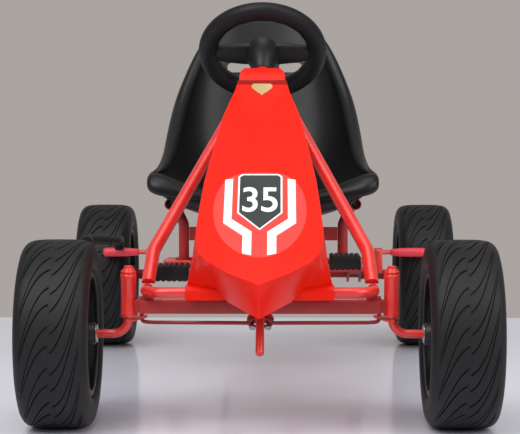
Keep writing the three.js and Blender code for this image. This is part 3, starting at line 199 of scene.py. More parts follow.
@dataclass(frozen=True)
class Finish:
    """One finish: two tones, a range of roughness and a grain.

    The colours are linear. The grain's depth is in metres.
    """

    name: str
    slot: Slot
    light: Point
    dark: Point
    rough: tuple[float, float]
    tone_scale: float = 18.0
    grain_scale: float = 700.0
    bump: float = 0.15
    depth: float = 0.0004
    metallic: float = 0.0
    coat: float = 0.0
    coat_rough: float = 0.08
    specular: float = 0.5

    def build(self) -> bpy.types.Material:
        """Makes the finish's material, once.

        Returns:
            The material.
        """
        made = bpy.data.materials.get(self.name)
        if made:
            return made
        material = bpy.data.materials.new(self.name)
        material.use_nodes = True
        tree = material.node_tree
        shader = tree.nodes["Principled BSDF"]
        tune(shader, Metallic=self.metallic, Coat_Weight=self.coat, Coat_Roughness=self.coat_rough,
             Specular_IOR_Level=self.specular)
        kinds = ("ShaderNodeGroup", "ShaderNodeGroup", "ShaderNodeBump")
        tones, grain, relief = (tree.nodes.new(kind) for kind in kinds)
        tones.node_tree = bpy.data.node_groups.get("mottle") or mottle_group()
        grain.node_tree = bpy.data.node_groups.get("grain") or grain_group()
        tune(tones, Light=(*self.light, 1.0), Dark=(*self.dark, 1.0), Scale=self.tone_scale)
        tune(grain, Scale=self.grain_scale, Low=self.rough[0], High=self.rough[1])
        tune(relief, Strength=self.bump, Distance=self.depth)
        wire(tree, (tones, "Colour", shader, "Base Color"), (grain, "Roughness", shader, "Roughness"),
             (grain, "Height", relief, "Height"), (relief, "Normal", shader, "Normal"))
        return material


RED_PAINT = Finish("red_powder_coat", Slot.PAINT, (0.74, 0.030, 0.022), (0.60, 0.018, 0.014), (0.24, 0.38),
                   bump=0.10, coat=0.35, coat_rough=0.18)
# Painted shade: a darker, duller copy of the red powder coat, for the frame parts that sit low or behind, under the
# hood and seat.
SHADED_RED_PAINT = Finish("red_powder_coat_shaded", Slot.PAINT, (0.42, 0.016, 0.013), (0.31, 0.010, 0.009), (0.34, 0.48))
HOOD_RED = Finish("hood_gloss_red", Slot.HOOD, (0.84, 0.016, 0.005), (0.76, 0.011, 0.004), (0.26, 0.38),
                  tone_scale=7.0, bump=0.05, specular=0.14)
# Painted shade: a darker copy of the hood's red, laid as a thin band in the groove at the cap's front edge, where
# shade falls.
GROOVE_SHADE_RED = Finish("painted_shade_red", Slot.HOOD, (0.30, 0.006, 0.004), (0.22, 0.004, 0.003), (0.40, 0.55), bump=0.05,
                    specular=0.25)
DECAL_PALE = Finish("decal_pale_red", Slot.HOOD, (0.84, 0.060, 0.048), (0.78, 0.048, 0.038), (0.30, 0.40), bump=0.03,
                    specular=0.3)
DECAL_WHITE = Finish("decal_white", Slot.HOOD, (0.86, 0.85, 0.85), (0.80, 0.78, 0.79), (0.28, 0.38), bump=0.03)
DECAL_GREY = Finish("decal_dark_grey", Slot.HOOD, (0.040, 0.046, 0.047), (0.028, 0.033, 0.034), (0.34, 0.46),
                    bump=0.03, specular=0.3)
BADGE_GOLD = Finish("badge_gilt", Slot.HOOD, (0.86, 0.66, 0.33), (0.70, 0.50, 0.22), (0.22, 0.34), metallic=0.5)
BLACK_PLASTIC = Finish("black_moulded", Slot.BLACK, (0.011, 0.0115, 0.012), (0.007, 0.007, 0.0075), (0.34, 0.52),
                       bump=0.25, grain_scale=520.0, specular=0.35)
SEAT_BLACK = Finish("seat_black", Slot.BLACK, (0.0075, 0.0078, 0.0084), (0.0045, 0.0047, 0.005), (0.30, 0.44),
                    tone_scale=5.0, bump=0.18, grain_scale=420.0, specular=0.28)
GRIP_BLACK = Finish("grip_black", Slot.BLACK, (0.006, 0.006, 0.0064), (0.004, 0.004, 0.0042), (0.40, 0.56),
                    bump=0.45, grain_scale=900.0, specular=0.24)
RUBBER = Finish("tyre_rubber", Slot.TYRE, (0.0105, 0.0107, 0.011), (0.0065, 0.0066, 0.0068), (0.46, 0.64),
                tone_scale=9.0, bump=0.30, grain_scale=480.0, specular=0.26)
STEEL = Finish("bright_steel", Slot.STEEL, (0.56, 0.57, 0.59), (0.42, 0.43, 0.45), (0.24, 0.42), metallic=1.0)
CHAIN_STEEL = Finish("chain_steel", Slot.STEEL, (0.30, 0.29, 0.28), (0.16, 0.155, 0.15), (0.35, 0.55), metallic=1.0)
SLEEVE_RED = Finish("brake_sleeve_red", Slot.SLEEVE, (0.82, 0.050, 0.075), (0.72, 0.032, 0.050), (0.36, 0.50),
                    bump=0.2)


# ---------------------------------------------------------------- modelling by hand


def clear_choice() -> None:
    """Leaves edit mode and selects nothing."""
    if bpy.context.object and bpy.context.object.mode != "OBJECT":
        bpy.ops.object.mode_set(mode="OBJECT")
    bpy.ops.object.select_all(action="DESELECT")


def choose(obj: Object) -> None:
    """Makes an object the only one that is selected, and the active one.

    Args:
        obj: the object.
    """
    clear_choice()
    bpy.context.view_layer.objects.active = obj
    obj.select_set(True)


def edit_all(obj: Object) -> None:
    """Opens one object in edit mode with everything selected.

    Args:
        obj: the object.
    """
    choose(obj)
    bpy.ops.object.mode_set(mode="EDIT")
    bpy.ops.mesh.select_mode(type="VERT")
    bpy.ops.mesh.select_all(action="SELECT")


def settle(obj: Object) -> None:
    """Bakes an object's place into its mesh."""
    choose(obj)
    bpy.ops.object.transform_apply(location=True, rotation=True, scale=True)


def outward(obj: Object) -> None:
    """Merges doubles and turns all faces outwards.

    Args:
        obj: the object.
    """
    edit_all(obj)
    bpy.ops.mesh.remove_doubles(threshold=MERGE)
    bpy.ops.mesh.delete_loose()
    bpy.ops.mesh.select_all(action="SELECT")
    bpy.ops.mesh.normals_make_consistent(inside=False)
    clear_choice()


def apply_all(obj: Object) -> None:
    """Applies an object's modifiers in order.

    Args:
        obj: the object.
    """
    choose(obj)
    for modifier in list(obj.modifiers):
        bpy.ops.object.modifier_apply(modifier=modifier.name)


def refine(obj: Object, levels: int = 2) -> None:
    """Adds a smooth subdivision to an object, not yet applied."""
    finer = obj.modifiers.new("finer", "SUBSURF")
    finer.levels = finer.render_levels = levels


def soften(obj: Object, width: float, segments: int = 2, angle: float = 32.0) -> None:
    """Rounds an object's sharp edges.

    Args:
        obj: the piece.
        width: the rounding in millimetres.
        segments: how many facets a rounded edge has.
        angle: the edges sharper than this, in degrees, are rounded.
    """
    bevel = obj.modifiers.new("round", "BEVEL")
    bevel.width, bevel.segments, bevel.limit_method = width * MM, segments, "ANGLE"
    bevel.angle_limit = math.radians(angle)
    apply_all(obj)


def smooth(obj: Object, angle: float = 38.0) -> None:
    """Shades an object smoothly up to an angle in degrees."""
    choose(obj)
    bpy.ops.object.shade_smooth_by_angle(angle=math.radians(angle))


def dress(obj: Object, name: str, finish: Finish, body: str, *nodes: str) -> None:
    """Names a piece, gives it its finish and fixes it to its body.

    Args:
        obj: the piece, in place.
        name: its name.
        finish: its finish.
        body: the CAD body that it rides on.
        nodes: the CAD nodes that it stands for.
    """
    obj.name = name
    obj.data.materials.clear()
    obj.data.materials.append(finish.build())
    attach(obj, body)
    if nodes:
        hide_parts(*nodes)
    log.info("%s: %d faces, on %s", name, len(obj.data.polygons), body)


def outlined(points: Sequence[Vector], filled: bool = True) -> Object:
    """A flat outline, as a mesh at its own place.

    Args:
        points: its corners in metres.
        filled: whether the outline holds a face.

    Returns:
        The object, at the origin.
    """
    clear_choice()
    bpy.ops.mesh.primitive_circle_add(vertices=len(points), fill_type="NGON" if filled else "NOTHING")
    obj = bpy.context.object
    for vertex, point in zip(obj.data.vertices, points):
        vertex.co = point
    return obj


def grid(columns: int, rows: int) -> Object:
    """A flat grid, whose points are then moved into place.

    Args:
        columns: how many faces it has along.
        rows: how many faces it has across.

    Returns:
        The grid.
    """
    clear_choice()
    bpy.ops.mesh.primitive_grid_add(x_subdivisions=columns, y_subdivisions=rows, size=1)
    return bpy.context.object


def plate(points: Sequence[Vector], thickness: Vector) -> Object:
    """A flat plate from an outline, extruded by one move.

    Args:
        points: the outline in metres.
        thickness: the move that gives it its thickness, in millimetres.

    Returns:
        The plate.
    """
    obj = outlined(points)
    edit_all(obj)
    bpy.ops.mesh.extrude_region_move(TRANSFORM_OT_translate={"value": tuple(thickness * MM)})
    outward(obj)
    return obj


def block(low: Point, high: Point) -> Object:
    """A block between two corners.

    Args:
        low: its low corner in millimetres, with y counted from the front axle.
        high: its high corner.

    Returns:
        The block.
    """
    a, b = at(*low), at(*high)
    clear_choice()
    bpy.ops.mesh.primitive_cube_add(size=1.0, location=(a + b) / 2)
    obj = bpy.context.object
    obj.scale = b - a
    settle(obj)
    outward(obj)
    return obj


def spun(outline: Outline, origin: Vector, direction: Vector, steps: int = 48) -> Object:
    """A closed section turned round an axis.

    Args:
        outline: corners as (distance along the axis, radius), in millimetres.
        origin: the axis' start in metres.
        direction: the axis' direction.
        steps: how many steps the turn has.

    Returns:
        The turned piece.
    """
    direction = direction.normalized()
    turn = direction.to_track_quat("Z", "Y").to_matrix()
    obj = outlined([origin + turn @ Vector((radius * MM, 0, height * MM)) for height, radius in outline], False)
    edit_all(obj)
    bpy.ops.mesh.spin(steps=steps, angle=2 * math.pi, center=origin, axis=direction)
    outward(obj)
    return obj


@dataclass(frozen=True)
class Turning:
    """A piece turned on a lathe.

    Its section is a closed outline of (distance along the axis, radius) in millimetres.
    """

    section: Outline
    steps: int = 32
    shade: float = 40.0

    @classmethod
    def pipe(cls, length: float, bore: float, radius: float, lip: float, drop: float, steps: int = 32,
             shade: float = 50.0) -> "Turning":
        """A straight pipe or bar with chamfered ends.

        Args:
            length: its length in millimetres.
            bore: its bore's radius, or 0.
            radius: its outer radius.
            lip: the chamfer's length along the axis.
            drop: the chamfer's depth.
            steps: how many steps the turn has.
            shade: the angle in degrees up to which it shades smoothly.

        Returns:
            The turning.
        """
        section = ((0, bore), (0, radius - drop), (lip, radius), (length - lip, radius), (length, radius - drop),
                   (length, bore))
        return cls(section, steps, shade)

    def make(self, origin: Vector, direction: Vector) -> Object:
        """The piece, turned and shaded.

        Args:
            origin: where its axis starts, in metres.
            direction: the axis' direction.

        Returns:
            The piece.
        """
        obj = spun(self.section, origin, direction, self.steps)
        smooth(obj, self.shade)
        return obj


@dataclass(frozen=True)
class Pipe:
    """A bent tube: its radius, its bends' radius in millimetres, its sides and the steps in each bend."""

    radius: float
    bend: float
    sides: int
    steps: int

    def make(self, points: Sequence[Vector]) -> Object:
        """The tube: a ring extruded along the straight runs and spun round the bends.

        Args:
            points: where the tube's centre line starts, turns and ends, in metres.

        Returns:
            The tube, closed at both ends.
        """
        heading = (points[1] - points[0]).normalized()
        clear_choice()
        bpy.ops.mesh.primitive_circle_add(vertices=self.sides, radius=self.radius * MM, fill_type="NOTHING",
                                          location=points[0], rotation=heading.to_track_quat("Z", "Y").to_euler())
        obj = bpy.context.object
        settle(obj)
        edit_all(obj)
        place = points[0]
        for corner, following in zip(points[1:-1], points[2:]):
            after = (following - corner).normalized()
            angle = heading.angle(after)
            setback = self.bend * MM * math.tan(angle / 2)
            start = corner - heading * setback
            bpy.ops.mesh.extrude_region_move(TRANSFORM_OT_translate={"value": tuple(start - place)})
            axis = heading.cross(after).normalized()
            centre = start + axis.cross(heading).normalized() * self.bend * MM
            bpy.ops.mesh.spin(steps=self.steps, angle=-angle, center=centre, axis=axis)
            place, heading = corner + after * setback, after
        bpy.ops.mesh.extrude_region_move(TRANSFORM_OT_translate={"value": tuple(points[-1] - place)})
        bpy.ops.mesh.edge_face_add()
        bpy.ops.mesh.select_all(action="DESELECT")
        bpy.ops.object.mode_set(mode="OBJECT")
        for vertex in obj.data.vertices[:self.sides]:
            vertex.select = True
        bpy.ops.object.mode_set(mode="EDIT")
        bpy.ops.mesh.edge_face_add()
        outward(obj)
        return obj


def swept(path: Sequence[tuple[float, float, float, float]], normal: Vector, flat: float = 1.0) -> Object:
    """A soft roll along a path, as a grid wrapped round it and closed at both ends.

    Args:
        path: the middle line's points with the roll's radius there, in millimetres from the front axle.
        normal: the normal of the plane that all of its rings lie in.
        flat: the share of the radius that is kept in the rings' second direction.

    Returns:
        The roll.
    """
    sides = ROLL_SIDES
    first = normal.orthogonal().normalized()
    second = normal.normalized().cross(first)
    obj = grid(sides, len(path) - 1)
    for number, vertex in enumerate(obj.data.vertices):
        x, y, z, radius = path[number // (sides + 1)]
        angle = (number % (sides + 1)) / sides * 2 * math.pi
        ring = first * math.cos(angle) + second * math.sin(angle) * flat
        vertex.co = at(x, y, z) + ring * radius * MM
    outward(obj)
    refine(obj)
    apply_all(obj)
    outward(obj)
    smooth(obj, 60.0)
    return obj


def recast(node: str, width: float, angle: float = 32.0, segments: int = 2) -> Object:
    """A copy of a CAD node with its triangles merged and its edges rounded.

    Args:
        node: the CAD node.
        width: the rounding in millimetres, or 0 for none.
        angle: the edges sharper than this, in degrees, are rounded.
        segments: how many facets a rounded edge has.

    Returns:
        The copy, not yet dressed.
    """
    obj = bpy.data.objects.new(f"{node}_form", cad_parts[node].data.copy())
    bpy.context.scene.collection.objects.link(obj)
    edit_all(obj)
    bpy.ops.mesh.remove_doubles(threshold=MERGE)
    bpy.ops.mesh.select_all(action="SELECT")
    bpy.ops.mesh.dissolve_limited(angle_limit=FLAT_ANGLE)
    clear_choice()
    if width:
        soften(obj, width, segments, angle)
    smooth(obj, 40.0)
    return obj


class Change(Enum):
    """What other objects do to the one that they meet."""

    CUT = "DIFFERENCE"
    ADD = "UNION"


def carved(obj: Object, *tools: Object, change: Change = Change.CUT) -> None:
    """Cuts other objects out of one, or adds them to it, and removes them.

    Args:
        obj: the piece.
        tools: the other objects, in order.
        change: whether they cut or add.
    """
    for tool in tools:
        step = obj.modifiers.new("change", "BOOLEAN")
        step.operation, step.object, step.solver = change.value, tool, "EXACT"
    apply_all(obj)
    for tool in tools:
        bpy.data.objects.remove(tool)


# ---------------------------------------------------------------- wheels


@dataclass
class Wheels:
    """Four wheels: a treaded tyre, a dished rim with windows, and a hub cap.

    The tyre's section runs from its bead to its middle as (distance from the middle plane, radius). The tread's
    mesh has columns, each with its turn in a pitch and the half of the tyre that its groove is cut in: 1 for the
    kart's left, -1 for its right, 0 for none. Across the tread, a share is a distance from the middle over the
    tread's reach. The lag is how far the left half's grooves trail the right half's, and closing is the stretch of
    a pitch that narrows towards the tread's edge. The sweep is the grooves' turn near the middle and at the edge,
    all in pitches. The fades are the share at which a groove begins or ends, and over how much of a share.
    """

    front_track: float = 552.0
    rear_track: float = 586.0
    section: Outline = (
        (44.6, 89.0), (47.8, 93.0), (49.1, 99.0), (49.4, 106.0), (49.0, 112.5), (47.4, 118.5), (45.8, 121.2),
        (44.2, 123.2), (42.2, 125.0), (40.0, 126.3), (37.2, 127.4), (34.2, 128.2), (31.2, 128.7), (28.2, 129.1),
        (25.0, 129.3), (21.6, 129.5), (18.2, 129.6), (14.8, 129.7), (11.6, 129.7), (8.8, 129.75), (6.2, 129.75),
        (4.0, 129.75), (2.2, 129.75), (0.7, 129.75), (0.5, 129.95),
    )
    pitches: int = 15
    columns: tuple[tuple[float, int], ...] = (
        (0.00, 0), (0.02, -1), (0.06, -1), (0.08, 0), (0.14, 0), (0.20, 0), (0.22, 1), (0.26, 1), (0.28, 0),
        (0.36, 0), (0.46, 0), (0.48, -1), (0.52, -1), (0.54, 0), (0.60, 0), (0.66, 0), (0.68, 1), (0.72, 1),
        (0.74, 0), (0.87, 0),
    )
    groove_depth: float = 2.4
    tread_reach: float = 37.0
    last_share: float = 1.3
    lag: float = 0.20
    closing: tuple[float, float] = (0.08, 0.46)
    closing_share: float = 0.82
    closing_power: float = 1.6
    sweep: tuple[float, float] = (0.35, 1.2)
    sweep_power: float = 2.2
    fade_in: tuple[float, float] = (0.02, 0.06)
    fade_out: tuple[float, float] = (1.06, 0.08)
    barrel: Outline = (
        (-45, 78.5), (-45, 86), (-42, 88.2), (40, 88.2), (44.4, 86.5), (45, 84), (44, 82.2), (41, 82.6), (37, 84.2),
        (22.4, 83.4), (19.4, 80), (18.2, 17), (21.2, 15), (22, 7), (-48.9, 7), (-48.9, 15), (-24, 15.4), (11, 17.5),
        (14, 24), (14, 76), (10, 84.6), (-37, 84.8), (-41, 82), (-42, 78.5),
    )
    windows: int = 5
    window_rows: tuple[tuple[float, float, int], ...] = ((31.0, 0.30, 1), (74.0, 0.42, -1))
    window_start: float = 2.0
    window_reach: float = 34.0
    hub_cap: Turning = Turning(((0, 21.6), (0, 23.4), (2, 24.2), (4, 23.6), (10.4, 21.6), (13.4, 17.5), (14.7, 10.5),
                                (14.9, 0), (12.8, 0), (12.6, 9.6), (11.4, 15.8), (8.8, 19.6)), steps=48)
    hub_cap_start: float = 18.35

    def tread(self, across: float, column: int) -> tuple[float, float]:
        """Where a column of the tread's mesh stands at a distance from the middle.

        Each pitch has two grooves on either half. They sweep away from the middle, one half's up and the other's
        down, and close in on each other towards their ends.

        Args:
            across: the distance from the middle plane, in millimetres.
            column: the column's number in its pitch.

        Returns:
            The column's turn in pitches, and its groove's depth in millimetres.
        """
        share = min(abs(across) / self.tread_reach, self.last_share)
        half = 1 if across > 0 else -1
        turn, cut = self.columns[column]
        local = (turn - (self.lag if half > 0 else 0.0)) % 1.0
        start, end = self.closing
        squeeze = 1 - self.closing_share * min(share, 1.0) ** self.closing_power
        second = start + (end - start) * squeeze
        if local < start:
            warped = local
        elif local < end:
            warped = start + (local - start) * squeeze
        else:
            warped = second + (local - end) * (1 - second) / (1 - end)
        near, far = self.sweep
        swept_by = half * (near * share + far * share ** self.sweep_power)
        begun = max(0.0, min(1.0, (share - self.fade_in[0]) / self.fade_in[1]))
        left = max(0.0, min(1.0, (self.fade_out[0] - share) / self.fade_out[1]))
        return turn + warped - local - swept_by, self.groove_depth * begun * left * (cut == half)

    def tyre(self, centre: Vector) -> Object:
        """One tyre, as a treaded band whose beads are bridged.

        Args:
            centre: the wheel's centre in metres.

        Returns:
            The tyre.
        """
        whole = [*self.section, *((-x, radius) for x, radius in reversed(self.section))]
        columns = len(self.columns) * self.pitches
        obj = grid(columns, len(whole) - 1)
        for number, vertex in enumerate(obj.data.vertices):
            ring, step = divmod(number, columns + 1)
            x, radius = whole[ring]
            pitch, column = divmod(step, len(self.columns))
            turn, depth = self.tread(x, column)
            angle = (pitch + turn) * 2 * math.pi / self.pitches
            radius -= depth
            vertex.co = centre + Vector((x, radius * math.cos(angle), radius * math.sin(angle))) * MM
        outward(obj)
        edit_all(obj)
        bpy.ops.mesh.select_all(action="DESELECT")
        bpy.ops.mesh.select_non_manifold()
        bpy.ops.mesh.bridge_edge_loops()
        outward(obj)
        smooth(obj, 34.0)
        return obj

    def rim(self, centre: Vector, out: Vector) -> Object:
        """One rim: a barrel with two flanges, a web with windows, and a hub.

        Args:
            centre: the wheel's centre in metres.
            out: the direction that the wheel's outer face looks to.

        Returns:
            The rim.
        """
        piece = spun(self.barrel, centre, out, steps=72)
        tools = []
        for number in range(self.windows):
            middle = (number + 0.5) * 2 * math.pi / self.windows
            corners = []
            for radius, spread, sense in self.window_rows:
                for step in range(-2, 3):
                    angle = middle + sense * step / 2 * spread
                    spot = Vector((0, math.cos(angle), math.sin(angle))) * radius
                    corners.append(centre + (spot + out * self.window_start) * MM)
            tools.append(plate(corners, out * self.window_reach))
        carved(piece, *tools)
        outward(piece)
        soften(piece, width=0.9, segments=2, angle=40.0)
        smooth(piece, 36.0)
        return piece

    def build(self) -> None:
        """Makes and dresses all four wheels."""
        for end, track, y in (("front", self.front_track, 0.0), ("rear", self.rear_track, WHEELBASE)):
            for side, sign in SIDES:
                centre, out = at(sign * track / 2, y, AXLE_Z), Vector((sign, 0, 0))
                body = f"front_wheel_{side}" if end == "front" else "rear_wheel_left" if sign > 0 else "rear_axle"
                dress(self.tyre(centre), f"tyre_{end}_{side}", RUBBER, body, f"{end}_tyre_{side}")
                dress(self.rim(centre, out), f"rim_{end}_{side}", BLACK_PLASTIC, body, f"{end}_rim_{side}")
                cap = self.hub_cap.make(centre + out * self.hub_cap_start * MM, out)
                dress(cap, f"hub_cap_{end}_{side}", BLACK_PLASTIC, body, f"{end}_hub_cap_{side}")


# ---------------------------------------------------------------- frame


@dataclass
class Chassis:
    """The welded tubes and plates that carry everything."""

    sleeve: Turning = Turning(((0, 6.6), (0, 10.2), (0.9, 11.1), (5.4, 11.1), (6.2, 10.7), (53.6, 10.7),
                               (54.4, 11.1), (59, 11.1), (59.8, 10.2), (59.8, 6.6)), steps=48, shade=50.0)
    sleeve_z: float = 152.1
    hoop: Pipe = Pipe(radius=7.9, bend=32, sides=28, steps=10)
    hoop_end: tuple[float, float] = (156.0, 12.0)
    stay: Pipe = Pipe(radius=9.4, bend=60, sides=32, steps=12)
    stay_line: tuple[Point, ...] = ((19, 325, 478), (150, 50, 240), (154, 4, 198.6))
    stay_cut: Outline = ((-30, 0), (-30, 13.35), (90, 13.35), (90, 0))
    stay_cut_distance: float = 430.0
    foot_cut: tuple[Point, Point] = ((-30, -30, 160), (30, 40, 198.3))
    head: Turning = Turning.pipe(length=45, bore=6.6, radius=12.9, lip=0.8, drop=0.7, steps=40)
    head_distance: float = 440.0
    rail: Turning = Turning.pipe(length=829.4, bore=9.4, radius=10.95, lip=0.6, drop=0.55)
    rail_start: Point = (50.0, 2.4, 172.0)
    cross: Turning = Turning.pipe(length=344, bore=0, radius=7.95, lip=0.8, drop=0.75)
    cross_start: Point = (-172.0, 812.0, 152.7)
    post: Pipe = Pipe(radius=8.45, bend=17, sides=28, steps=8)
    flange: Outline = ((0, 0), (0, 13.9), (2.2, 13.9), (3, 13), (3, 0))
    seat_rail: Turning = Turning.pipe(length=266, bore=7.4, radius=8.95, lip=0.5, drop=0.45, steps=28)
    post_cut: Outline = ((-60, 0), (-60, 9.3), (60, 9.3), (60, 0))
    post_end_cut: tuple[Point, Point] = ((-30, 460, 284), (30, 520, 320))

    def front(self) -> None:
        """The beam, the kingpin sleeves, the hoop, the stays and the steering head."""
        dress(recast("front_axle_beam", width=1.6, angle=32.0, segments=3),
              "axle_beam", SHADED_RED_PAINT, "chassis", "front_axle_beam")
        end_x, end_y = self.hoop_end
        hoop = self.hoop.make([at(-end_x, end_y, HOOP_Z), at(-end_x, HOOP_Y, HOOP_Z), at(end_x, HOOP_Y, HOOP_Z),
                               at(end_x, end_y, HOOP_Z)])
        soften(hoop, width=1.6, segments=3, angle=60.0)
        smooth(hoop)
        dress(hoop, "hoop", RED_PAINT, "chassis", "front_hoop")
        for side, sign in SIDES:
            sleeve = self.sleeve.make(at(sign * KINGPIN_X, 0, self.sleeve_z), Z)
            dress(sleeve, f"kingpin_sleeve_tube_{side}", RED_PAINT, "chassis", f"kingpin_sleeve_{side}")
            stay = self.stay.make([on_side(point, sign) for point in self.stay_line])
            head = spun(self.stay_cut, on_column(self.stay_cut_distance), COLUMN, steps=32)
            foot_x = sign * self.stay_line[-1][0]
            foot = block(*((foot_x + x, y, z) for x, y, z in self.foot_cut))
            carved(stay, head, foot)
            outward(stay)
            smooth(stay, 40.0)
            dress(stay, f"stay_tube_{side}", RED_PAINT, "chassis", f"stay_{side}")
        head = self.head.make(on_column(self.head_distance), COLUMN)
        dress(head, "steering_head_tube", RED_PAINT, "chassis", "steering_head")

    def rails(self) -> None:
        """The two rails, the cross tube and the axle's hangers."""
        for side, sign in SIDES:
            rail = self.rail.make(on_side(self.rail_start, sign), Y)
            dress(rail, f"rail_tube_{side}", RED_PAINT, "chassis", f"frame_rail_{side}")
            for node, name, width in (("axle_hanger", "hanger", 0.8), ("brake_bracket", "brake_block", 0.6)):
                dress(recast(f"{node}_{side}", width), f"{name}_{side}", SHADED_RED_PAINT, "chassis", f"{node}_{side}")
        dress(self.cross.make(at(*self.cross_start), X), "rear_cross_pipe", SHADED_RED_PAINT, "chassis", "rear_cross_tube")

    def seat_frame(self) -> None:
        """The seat's cross bar, posts, rails and tie plate."""
        dress(recast("seat_cross_bar", width=1.6, angle=32.0, segments=3),
              "cross_bar", RED_PAINT, "chassis", "seat_cross_bar")
        dress(recast("seat_tie_plate", width=1.2, angle=32.0, segments=3),
              "tie_plate", SHADED_RED_PAINT, "chassis", "seat_tie_plate")
        for side, sign in SIDES:
            line = [on_side(point, sign) for point in SEAT_POST]
            post = self.post.make(line)
            carved(post, spun(self.flange, line[0], Z, steps=32), change=Change.ADD)
            rail_x, _, rail_z = SEAT_RAIL
            bar = spun(self.post_cut, at(sign * rail_x, SEAT_POST[0][1], rail_z), Y, steps=32)
            above = block(*((sign * rail_x + x, y, z) for x, y, z in self.post_end_cut))
            carved(post, bar, above)
            outward(post)
            smooth(post, 40.0)
            dress(post, f"seat_post_tube_{side}", SHADED_RED_PAINT, "chassis", f"seat_post_{side}")
            rail = self.seat_rail.make(on_side(SEAT_RAIL, sign), Y)
            dress(rail, f"seat_rail_tube_{side}", SHADED_RED_PAINT, "chassis", f"seat_rail_{side}")

    def build(self) -> None:
        """Makes and dresses the frame."""
        self.front()
        self.rails()
        self.seat_frame()


# ---------------------------------------------------------------- steering


@dataclass
class SteeringWheel:
    """The steering wheel: a thick ring, an arched band of two spokes, a lower spoke, a hub and a pad.

    The spokes' outlines are (to the left, across the column) from the wheel's centre.
    """

    distance: float = 525.0
    ring_radius: float = 85.4
    grip: float = 13.7
    grip_share: float = 1.1
    notches: int = 18
    notch_share: float = 0.07
    notch_depth: float = 0.9
    plain_top: float = 0.75
    spokes: tuple[Outline, ...] = (
        ((-78, -8), (-46, -15), (0, -18), (46, -15), (78, -8), (79, 12), (58, 20), (30, 24), (-30, 24), (-58, 20),
         (-79, 12)),
        ((-15, 4), (15, 4), (10, 78), (-10, 78)),
    )
    spoke_thickness: float = 11.2
    hub: Turning = Turning(((-45.5, 6.6), (-45.5, 13.6), (-44, 15), (-32, 17.6), (-14, 26.2), (4, 26.6), (5.9, 25),
                            (5.9, 6.6)), steps=48, shade=35.0)
    pad: Turning = Turning(((0.4, 0), (0.4, 19.8), (1.4, 20.9), (4.6, 20.4), (7.4, 17.2), (8.2, 12), (8.3, 0)),
                           steps=48)
    pad_lift: float = 6.0

    def ring(self) -> Object:
        """The ring, with finger notches inside all but its plain top.

        Returns:
            The ring.
        """
        clear_choice()
        bpy.ops.mesh.primitive_torus_add(major_radius=self.ring_radius * MM, minor_radius=self.grip * MM,
                                         major_segments=96, minor_segments=28)
        ring = bpy.context.object
        for vertex in ring.data.vertices:
            angle = math.atan2(vertex.co.y, vertex.co.x)
            radial = Vector((math.cos(angle), math.sin(angle), 0)) * self.ring_radius * MM
            inner = max(0.0, (radial - vertex.co).dot(radial.normalized()) / (self.grip * MM))
            depth = self.notch_depth if math.sin(angle) < self.plain_top else 0.0
            notch = max(0.0, math.cos(angle * self.notches)) ** 2 * depth
            thick = (vertex.co - radial) * (1 - self.notch_share * notch * inner)
            thick.xy *= self.grip_share
            vertex.co = radial + thick
        turn = Matrix((X, ACROSS, COLUMN)).transposed().to_4x4()
        ring.matrix_world = Matrix.Translation(on_column(self.distance)) @ turn
        settle(ring)
        smooth(ring, 60.0)
        return ring

    def build(self) -> None:
        """Makes and dresses the steering wheel."""
        dress(self.ring(), "steering_ring", GRIP_BLACK, "steering", "steering_wheel")
        for number, corners in enumerate(self.spokes):
            low = self.distance - self.spoke_thickness / 2
            arm = plate([on_column(low, x, y) for x, y in corners], COLUMN * self.spoke_thickness)
            soften(arm, width=3.0, segments=3, angle=30.0)
            smooth(arm, 40.0)
            dress(arm, f"spoke_{number + 1}", BLACK_PLASTIC, "steering")
        dress(self.hub.make(on_column(self.distance), COLUMN), "steering_hub", BLACK_PLASTIC, "steering")
        pad = self.pad.make(on_column(self.distance + self.pad_lift), COLUMN)
        dress(pad, "steering_pad", BLACK_PLASTIC, "steering", "steering_wheel_cap")


@dataclass
class SteeringColumn:
    """The steering column with its pitman plate, from the rounded tail to the wheel."""

    shaft: Outline = ((-62, 0), (-62, 3.4), (-61, 5.2), (-59, 5.95), (524, 5.95), (524.6, 5.4), (524.6, 0))
    lug_distance: float = 18.0
    lug_thickness: float = 4.0
    lug_root: float = 9.9
    lug_tip: float = 7.9
    bolt_place: tuple[float, float] = (11.0, 28.0)
    bolt_bore: Outline = ((0, 0), (0, 2.85), (20, 2.85), (20, 0))
    bore_distance: float = 10.0

    def build(self) -> None:
        """Makes and dresses the column."""
        shaft = spun(self.shaft, on_column(0), COLUMN, steps=28)
        x, across = self.bolt_place
        quarter = math.pi / 2
        outline = [*arc((0, 0), self.lug_root, math.pi, math.pi, 12),
                   *arc((x, across), self.lug_tip, 0.0, quarter, 6),
                   *arc((-x, across), self.lug_tip, quarter, quarter, 6)]
        lug = plate([on_column(self.lug_distance, *corner) for corner in outline], COLUMN * self.lug_thickness)
        bores = [spun(self.bolt_bore, on_column(self.bore_distance, sign * x, across), COLUMN, steps=16)
                 for _, sign in SIDES]
        carved(lug, *bores)
        carved(shaft, lug, change=Change.ADD)
        outward(shaft)
        smooth(shaft, 40.0)
        dress(shaft, "column_tube", RED_PAINT, "steering", "steering_column")


